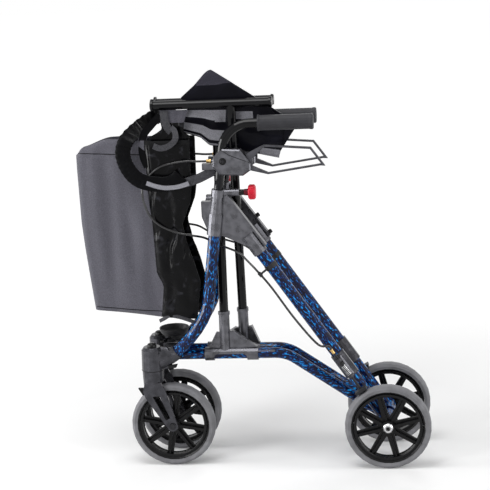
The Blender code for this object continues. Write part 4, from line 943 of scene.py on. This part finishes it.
def ribbed_strap(name, path, width, thick, body, paint, lift=0.0003, pitch=0.0022, normal=(0, -1, 0)):
    """Flat woven strap along a path, with the ribs of its weave across it."""
    count = max(8, int(sum(step_lengths(path)) / pitch) * 2)
    line = [point_along(path, i / count) for i in range(count + 1)]
    near, far = [], []
    for i, at in enumerate(line):
        ahead = (line[min(i + 1, count)] - line[max(i - 1, 0)]).normalized()
        out = Vector(normal).normalized()
        out = (out - ahead * ahead.dot(out)).normalized()
        across = ahead.cross(out)
        rise = lift if i % 2 else 0.0
        near.append([at + across * width * s + out * (thick / 2 + rise * (1 - abs(s * 2) ** 6))
                     for s in STRAP_STATIONS])
        far.append([at + across * width * s - out * thick / 2 for s in STRAP_STATIONS])
    return shown(name, skin(near, far), paint, body=body, smooth=30)


def strap_webbing(label, side):
    """Ribbed webbing, a grey strip on the left band's lowest turn as its painted highlight, and the steel
    loop at each handle.
    """
    body = f"{label}_handle"
    if label == "left":
        out = (0, side, 0)
        y = side * (FRAME_Y + 0.0100)
        path = smooth_route([(-0.0720, side * (FRAME_Y + 0.0030), 0.7075),
                             (-0.0870, side * (FRAME_Y + 0.0070), 0.7010), (-0.1080, y, 0.6915),
                             (-0.1320, y, 0.6840), (-0.1560, y, 0.6790), (-0.1760, y, 0.6775)], 26)
        ribbed_strap(f"strap_webbing_{label}", path, 0.0215, 0.0022, body, WEBBING, normal=out)
        # A grey strip along the lowest turn of the left band: painted highlight where the band catches the
        # light.
        y = side * (FRAME_Y + 0.0176)
        band = smooth_route([(-0.2290, y, 0.6850), (-0.2060, y, 0.6765), (-0.1830, y, 0.6725),
                             (-0.1560, y, 0.6745), (-0.1310, y, 0.6815)], 26)
        ribbed_strap(f"strap_painted_highlight_{label}", band, 0.0100, 0.0012, body, HIGHLIGHT_GREY, 0.0, 0.004, out)
    loop = bmesh.new()
    corner = Vector((LOOP_X, side * (FRAME_Y - 0.001), LOOP_Z))
    offsets = ((0, 0), (0, -LOOP_DROP), (LOOP_WIDTH, -LOOP_DROP), (LOOP_WIDTH, 0))
    tube(loop, [corner + Vector((dx, 0, dz)) for dx, dz in offsets], LOOP_WIRE, 8)
    shown(f"strap_loop_{label}", loop, STEEL, body=body)


def bag_hangers():
    """Webbing that hangs from the near rail, and the black strap from the rail to the bag's corner."""
    y = RAIL_WEB_Y
    hook = smooth_route([(-0.1868, y, 0.8440), (-0.1862, y - 0.001, 0.8270), (-0.1830, y - 0.002, 0.8130),
                         (-0.1775, y - 0.002, 0.8020), (-0.1715, y - 0.002, 0.7960)], 20)
    ribbed_strap("bag_hook_webbing", hook, 0.0180, 0.0018, "right_brace", WEBBING)
    loop = smooth_route([(-0.1712, -0.0325, 0.8060), (-0.1630, -0.0400, 0.7990), (-0.1585, -0.0540, 0.7886),
                         (-0.1614, -0.0572, 0.7781), (-0.1754, -0.0577, 0.7666), (-0.1944, -0.0577, 0.7619),
                         (-0.2110, -0.0567, 0.7678)], 30)
    ribbed_strap("bag_loop_webbing", loop, 0.0135, 0.0018, "left_frame", WEBBING)
    strap = smooth_route([(-0.1960, y, 0.8350), (-0.2180, y - 0.002, 0.8120), (-0.2350, y - 0.006, 0.7920),
                          (-0.2400, y - 0.012, 0.7640), (-0.2375, y - 0.016, 0.7400),
                          (-0.2290, y - 0.017, 0.7180)], 26)
    made = ribbed_strap("bag_corner_strap", strap, 0.0170, 0.0018, "left_frame", STRAP_BLACK, 0.0002)
    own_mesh(made)


def bag_flap():
    """The top of the near gusset: a loose flap that runs on up to the rail, grey above and black below."""
    grid = []
    for i in range(FLAP_COLS + 1):
        u = i / FLAP_COLS
        line = []
        for k in range(FLAP_ROWS + 1):
            z = mix(FLAP_LOW_Z, FLAP_TOP_Z, k / FLAP_ROWS)
            x = mix(value_at(FLAP_FRONT, z), value_at(FLAP_REAR, z), u)
            crease = 0.0010 * math.sin(u * 21 + z * 30) * ease(z, 0.7800, 0.8300)
            line.append(Vector((x, FLAP_Y + crease, z)))
        grid.append(line)

    def paint_of(i, j):
        """Grey above the flap's middle."""
        return 1 if j > FLAP_GREY_FROM * FLAP_ROWS else 0

    made = shown("bag_top_flap", skin(grid, thickened(grid, 0.0010), paint_of), [BAG_BLACK, BAG_GREY],
                 body="left_frame", smooth=60)
    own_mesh(made)


def bag_ties(label, side):
    """Two short straps under the bag that run down to the frame."""
    y = side * TIE_Y
    front = [(-0.1990, y, 0.3640), (-0.2100, y * 0.98, 0.3570), (-0.2225, y * 0.95, 0.3505)]
    rear = [(-0.1900, y, 0.3630), (-0.1720, y, 0.3590), (-0.1520, y, 0.3520), (-0.1320, y, 0.3440)]
    for place, path in (("front", front), ("rear", rear)):
        ribbed_strap(f"bag_tie_{place}_{label}", smooth_route(path, 14), 0.0085, 0.0016, f"{label}_frame",
                     WEBBING, 0.0001, normal=(0, side * 0.8, 0.5))


# Brake fittings: rows of (distance along the axis, radius)

ADJUSTER = [(0.0, 0.0030), (0.0006, 0.0046), (0.0016, 0.0046), (0.0020, 0.0040), (0.0034, 0.0040),
            (0.0038, 0.0047), (0.0052, 0.0047), (0.0056, 0.0043), (0.0078, 0.0043), (0.0082, 0.0052),
            (0.0108, 0.0052), (0.0112, 0.0043)]
END_SLEEVE = [(0.0, 0.0030), (0.0005, 0.0036), (0.0090, 0.0036), (0.0100, 0.0042), (0.0112, 0.0042),
              (0.0118, 0.0032)]
SPRING_RADIUS = 0.0056
SPRING_WIRE = 0.0008
SPRING_TURNS = 8
SPRING_STEPS = 14
SPRING_SPAN = (-0.022, 0.0045)


def brake_fittings(label, side):
    """Brass adjuster and nut at the handle, sleeve and return spring at the wheel brake."""
    adjuster = (CABLE_START[0], side * FRAME_Y, CABLE_START[1])
    turned(f"cable_adjuster_{label}", adjuster, (1, 0, 0), ADJUSTER, 18, BRASS, f"{label}_handle")
    low, high = (diagonal_point(BRAKE_CENTRE + end, side, BRAKE_OUT) for end in SPRING_SPAN)
    axis = (high - low).normalized()
    across = Vector((0, 1, 0))
    third = axis.cross(across)
    coil = []
    for i in range(SPRING_TURNS * SPRING_STEPS + 1):
        turn = 2 * math.pi * i / SPRING_STEPS
        middle = low.lerp(high, i / (SPRING_TURNS * SPRING_STEPS))
        coil.append(middle + (across * math.cos(turn) + third * math.sin(turn)) * SPRING_RADIUS)
    bm = bmesh.new()
    tube(bm, coil, SPRING_WIRE, 6, across=axis)
    shown(f"brake_spring_{label}", bm, STEEL, body=f"{label}_frame")
    top = diagonal_point(BRAKE_CENTRE + BRAKE_LENGTH / 2 + 0.0085, side, BRAKE_OUT)
    turned(f"cable_end_sleeve_{label}", top, UP_DIAGONAL, END_SLEEVE, 16, BRASS, f"{label}_frame")


# Barrels of the wheel rims

BARREL_RADIUS = 0.0800
BARREL_HALF_WIDTH = 0.0122
BARREL_LIP = [(0.0752, 0.0122), (0.0738, 0.0112), (0.0736, 0.0092), (0.0748, 0.0080)]
BARREL_STEPS = 72


def rim_barrel(name, centre, body):
    """Inner barrel of a wheel rim, with a raised lip at each edge."""
    section = [(BARREL_RADIUS, -BARREL_HALF_WIDTH), (BARREL_RADIUS, BARREL_HALF_WIDTH)]
    section += BARREL_LIP + [(r, -y) for r, y in BARREL_LIP[::-1]]
    bm = bmesh.new()
    rings = []
    for k in range(BARREL_STEPS):
        turn = 2 * math.pi * k / BARREL_STEPS
        rings.append([bm.verts.new(Vector(centre) + Vector((math.cos(turn) * r, y, math.sin(turn) * r)))
                      for r, y in section])
    join_rings(bm, rings + rings[:1], ends=False)
    shown(name, bm, RIM_PLASTIC, body=body, smooth=35)


def wheel_barrels(label):
    """A barrel in each of the side's two wheels, at the middle of its rim."""
    for wheel in ("front", "rear"):
        low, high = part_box(f"{wheel}_rim_{label}")
        centre = [(a + b) / 2 for a, b in zip(low, high)]
        rim_barrel(f"{wheel}_rim_barrel_{label}", centre, f"{label}_{wheel}_wheel")


# Small fittings of the handles, knobs, cables, axles and caster heads

HOUSING_SEAM = [(-0.0560, 0.7560), (-0.0515, 0.7537), (-0.0346, 0.7427), (-0.0120, 0.7337), (0.0045, 0.7272),
                (0.0095, 0.7250)]
HOUSING_BOLT = (-0.0510, 0.7295)
HOUSING_FACE_Y = 0.0710
HOUSING_MIDDLE_X = -0.024
HOUSING_FALL = 0.0016
KNOB_AXIS = {"left": ((-0.0292, -FRAME_Y, 0.6547), (1, 0, 0)),
             "right": ((-0.0665, 0.0702, 0.6547), (0, 1, 0))}
KNOB_STEM = {"left": (0.0225, 0.0328), "right": (0.0150, 0.0250)}
CLIP_AT = 0.461
CLIP_HALF = 0.0055
CLIP_EYE = (0.0241, 0.4642)
CLIP_EYE_AXIS = (0.0307, 0, -0.0391)
HUB_FACE_Y = 0.1121
HEAD_SCREWS = ((-0.2420, 0.0544), (-0.2220, 0.0356))
HEAD_SCREW_Z = 0.2960


def housing_fittings(label, side):
    """Seam, washer and bolt on the outer face of the handle housing; the black washer and dark bolt head
    also paint the shade of the bolt's recess.
    """
    out, body = (0, side, 0), f"{label}_handle"
    line = []
    for x, z in HOUSING_SEAM:
        fall = HOUSING_FALL * ease(abs(x - HOUSING_MIDDLE_X), 0.024, 0.034)
        line.append(Vector((x, side * (HOUSING_FACE_Y + 0.0001 - fall), z)))
    seam = bmesh.new()
    tube(seam, line, 0.0008, 6)
    shown(f"housing_seam_{label}", seam, RIM_PLASTIC, body=body)
    x, z = HOUSING_BOLT
    # Black washer and dark bolt head: parts, and painted shade for the recess they sit in.
    turned_head(f"housing_washer_and_shade_{label}", (x, side * HOUSING_FACE_Y, z), out, 0.0082, 0.0008, RIM_PLASTIC,
                body)
    turned_head(f"housing_bolt_{label}", (x, side * (HOUSING_FACE_Y + 0.0006), z), out, 0.0046, 0.0018,
                DARK_BOLT, body, 0.0009)


def knob_stem(label):
    """Black collar, and the neck in the knob's red darkened as painted shade, between the bracket and the
    height knob.
    """
    start, axis = KNOB_AXIS[label]
    collar_end, neck_end = KNOB_STEM[label]
    collar = [(0.0, 0.0058), (0.0004, 0.0068), (collar_end - 0.0004, 0.0068), (collar_end, 0.0058)]
    neck = [(collar_end, 0.0058), (collar_end + 0.0004, 0.0074), (neck_end - 0.0006, 0.0080),
            (neck_end, 0.0070)]
    turned(f"knob_collar_{label}", start, axis, collar, 20, RIM_PLASTIC, f"{label}_knob")
    turned(f"knob_neck_{label}", start, axis, neck, 20, KNOB_RED_SHADED, f"{label}_knob")


def cable_clip(label, side):
    """A ring round the diagonal tube, and the eye beside it that holds the cable."""
    middle = diagonal_point(CLIP_AT, side)
    eye = Vector((CLIP_EYE[0], side * (FRAME_Y + CABLE_OUT), CLIP_EYE[1]))
    along = Vector(CLIP_EYE_AXIS).normalized() * CLIP_HALF
    clip = bmesh.new()
    tube(clip, [middle - UP_DIAGONAL * CLIP_HALF, middle + UP_DIAGONAL * CLIP_HALF], 0.0149, 28)
    tube(clip, [eye - along, eye + along], 0.0043, 12)
    tube(clip, [middle + Vector((-0.0095, side * 0.0090, -0.0066)), eye], 0.0026, 8)
    shown(f"cable_clip_{label}", clip, SOFT_PLASTIC, body=f"{label}_frame")


def frame_screws(label, side):
    """A dark disc on the rear axle's head that paints the shade of its socket, and the two screws on top of
    the caster head.
    """
    body = f"{label}_frame"
    # Painted shade: a black disc for the socket hole in the axle's head.
    turned_head(f"axle_socket_shade_{label}", (REAR_AXLE.x, side * HUB_FACE_Y, REAR_AXLE.z), (0, side, 0), 0.0058,
                0.0006, RIM_PLASTIC, body, 0.0003)
    for k, (x, y) in enumerate(HEAD_SCREWS):
        turned_head(f"head_screw_{k + 1}_{label}", (x, side * y, HEAD_SCREW_Z), (0, 0, 1), 0.0038, 0.0026,
                    RIM_PLASTIC, body, 0.0008)


# Trim of the caster head and fork

ARM_SECTION = [(-0.0040, 0.2895), (0.0040, 0.2895), (0.0195, 0.2718), (0.0200, 0.2690), (0.0150, 0.2540),
               (-0.0150, 0.2540), (-0.0200, 0.2690), (-0.0195, 0.2718)]
ARM_ENDS = [-0.2080, -0.2080, -0.1925, -0.1915, -0.1990, -0.1990, -0.1915, -0.1925]
ARM_START_X = -0.2400
ARM_RIM = 0.0030
STEER_X = -0.2435
HEAD_CAP = [(0.2900, 0.0100), (0.2906, 0.0112), (0.2945, 0.0112), (0.2978, 0.0092), (0.2994, 0.0060),
            (0.2999, 0.0020)]
HEAD_SEAM = [(0.2344, 0.0262), (0.2346, 0.0269), (0.2358, 0.0269), (0.2360, 0.0262)]
FORK_FIN = [(-0.2807, 0.1915), (-0.2690, 0.1915), (-0.2600, 0.1840), (-0.2600, 0.1730), (-0.2708, 0.1744)]
HEAD_FIN = [(-0.2050, 0.2470), (-0.1935, 0.2480), (-0.1824, 0.2492), (-0.1862, 0.2410), (-0.2050, 0.2380)]
FIN_FACES = (0.0040, 0.0115)


def fin(name, outline, side, body):
    """A small flat fin beside the middle of the frame tube."""
    bm = bmesh.new()
    join_rings(bm, [[bm.verts.new((x, side * (FRAME_Y + out), z)) for x, z in outline] for out in FIN_FACES])
    soften(bm, 0.0006)
    shown(name, bm, RIM_PLASTIC, body=body, smooth=35)


def caster_trim(label, side):
    """Ridged arm from the caster head to the tubes, its black cap and seam, and the small black fins."""
    body = f"{label}_frame"
    bm = bmesh.new()
    stations = ([ARM_START_X] * len(ARM_SECTION), [x - ARM_RIM for x in ARM_ENDS], ARM_ENDS)
    join_rings(bm, [[bm.verts.new((x, side * FRAME_Y + y, z)) for x, (y, z) in zip(station, ARM_SECTION)]
                    for station in stations])
    soften(bm, 0.0009)
    shown(f"head_arm_{label}", bm, DARK_CASTING, body=body, smooth=35)
    steer = (STEER_X, side * FRAME_Y, 0.0)
    turned(f"head_cap_{label}", steer, (0, 0, 1), HEAD_CAP, 24, RIM_PLASTIC, body)
    turned(f"head_seam_{label}", steer, (0, 0, 1), HEAD_SEAM, 40, RIM_PLASTIC, body)
    fin(f"fork_fin_{label}", FORK_FIN, side, f"{label}_caster")
    fin(f"head_fin_{label}", HEAD_FIN, side, body)


# Pieces that only the right side has

BRACKET_SCREWS = {"upper": (0.0105, FRAME_Y, 0.5800), "lower": (0.0385, FRAME_Y, 0.5395)}
BRACKET_SCREW_SINK = 0.0030
DISH_CENTRE = (-0.1990, 0.0150, 0.3010)
DISH = [(0.0, 0.0210), (0.0010, 0.0260), (0.0050, 0.0320), (0.0120, 0.0352), (0.0172, 0.0360),
        (0.0182, 0.0352), (0.0176, 0.0338), (0.0115, 0.0322), (0.0055, 0.0280), (0.0030, 0.0180)]
# Route of the black arm that holds the dish; made thick, it also paints the shade round the far caster head.
DISH_SHADE_ARM = [(-0.2020, 0.0150, 0.3025), (-0.1930, 0.0200, 0.2940), (-0.1780, 0.0300, 0.2900),
            (-0.1600, 0.0430, 0.2930), (-0.1450, FRAME_Y, 0.3000)]


def bracket_screws():
    """The two black heads that stand on the rear edge of the far bracket and tube."""
    normal = Vector((math.sin(DIAGONAL), 0, math.cos(DIAGONAL)))
    for name, at in BRACKET_SCREWS.items():
        foot = Vector(at) - normal * BRACKET_SCREW_SINK
        turned_head(f"bracket_screw_{name}", foot, normal, 0.0052, 0.0070, SOFT_PLASTIC, "right_frame",
                    0.0012)


def cane_dish():
    """Shallow black dish between the front tubes, on a thick black arm from the far tube; the arm holds the
    dish and also stands in as painted shade round the far caster head.
    """
    turned("cane_dish", DISH_CENTRE, (0, 0, 1), DISH, 40, SOFT_PLASTIC, "right_frame")
    arm = bmesh.new()
    tube(arm, smooth_route(DISH_SHADE_ARM, 16), 0.0105, 14)
    shown("cane_dish_shade_arm", arm, SOFT_PLASTIC, body="right_frame")


seat_sling()
seat_ridge()
bag_hangers()
bag_flap()
for label, side in SIDES.items():
    bag_half(label, side)
    bag_ties(label, side)
    brake_fittings(label, side)
    housing_fittings(label, side)
    knob_stem(label)
    cable_clip(label, side)
    frame_screws(label, side)
    caster_trim(label, side)
    wheel_barrels(label)
    strap_half(label, side)
    strap_webbing(label, side)
bracket_screws()
cane_dish()
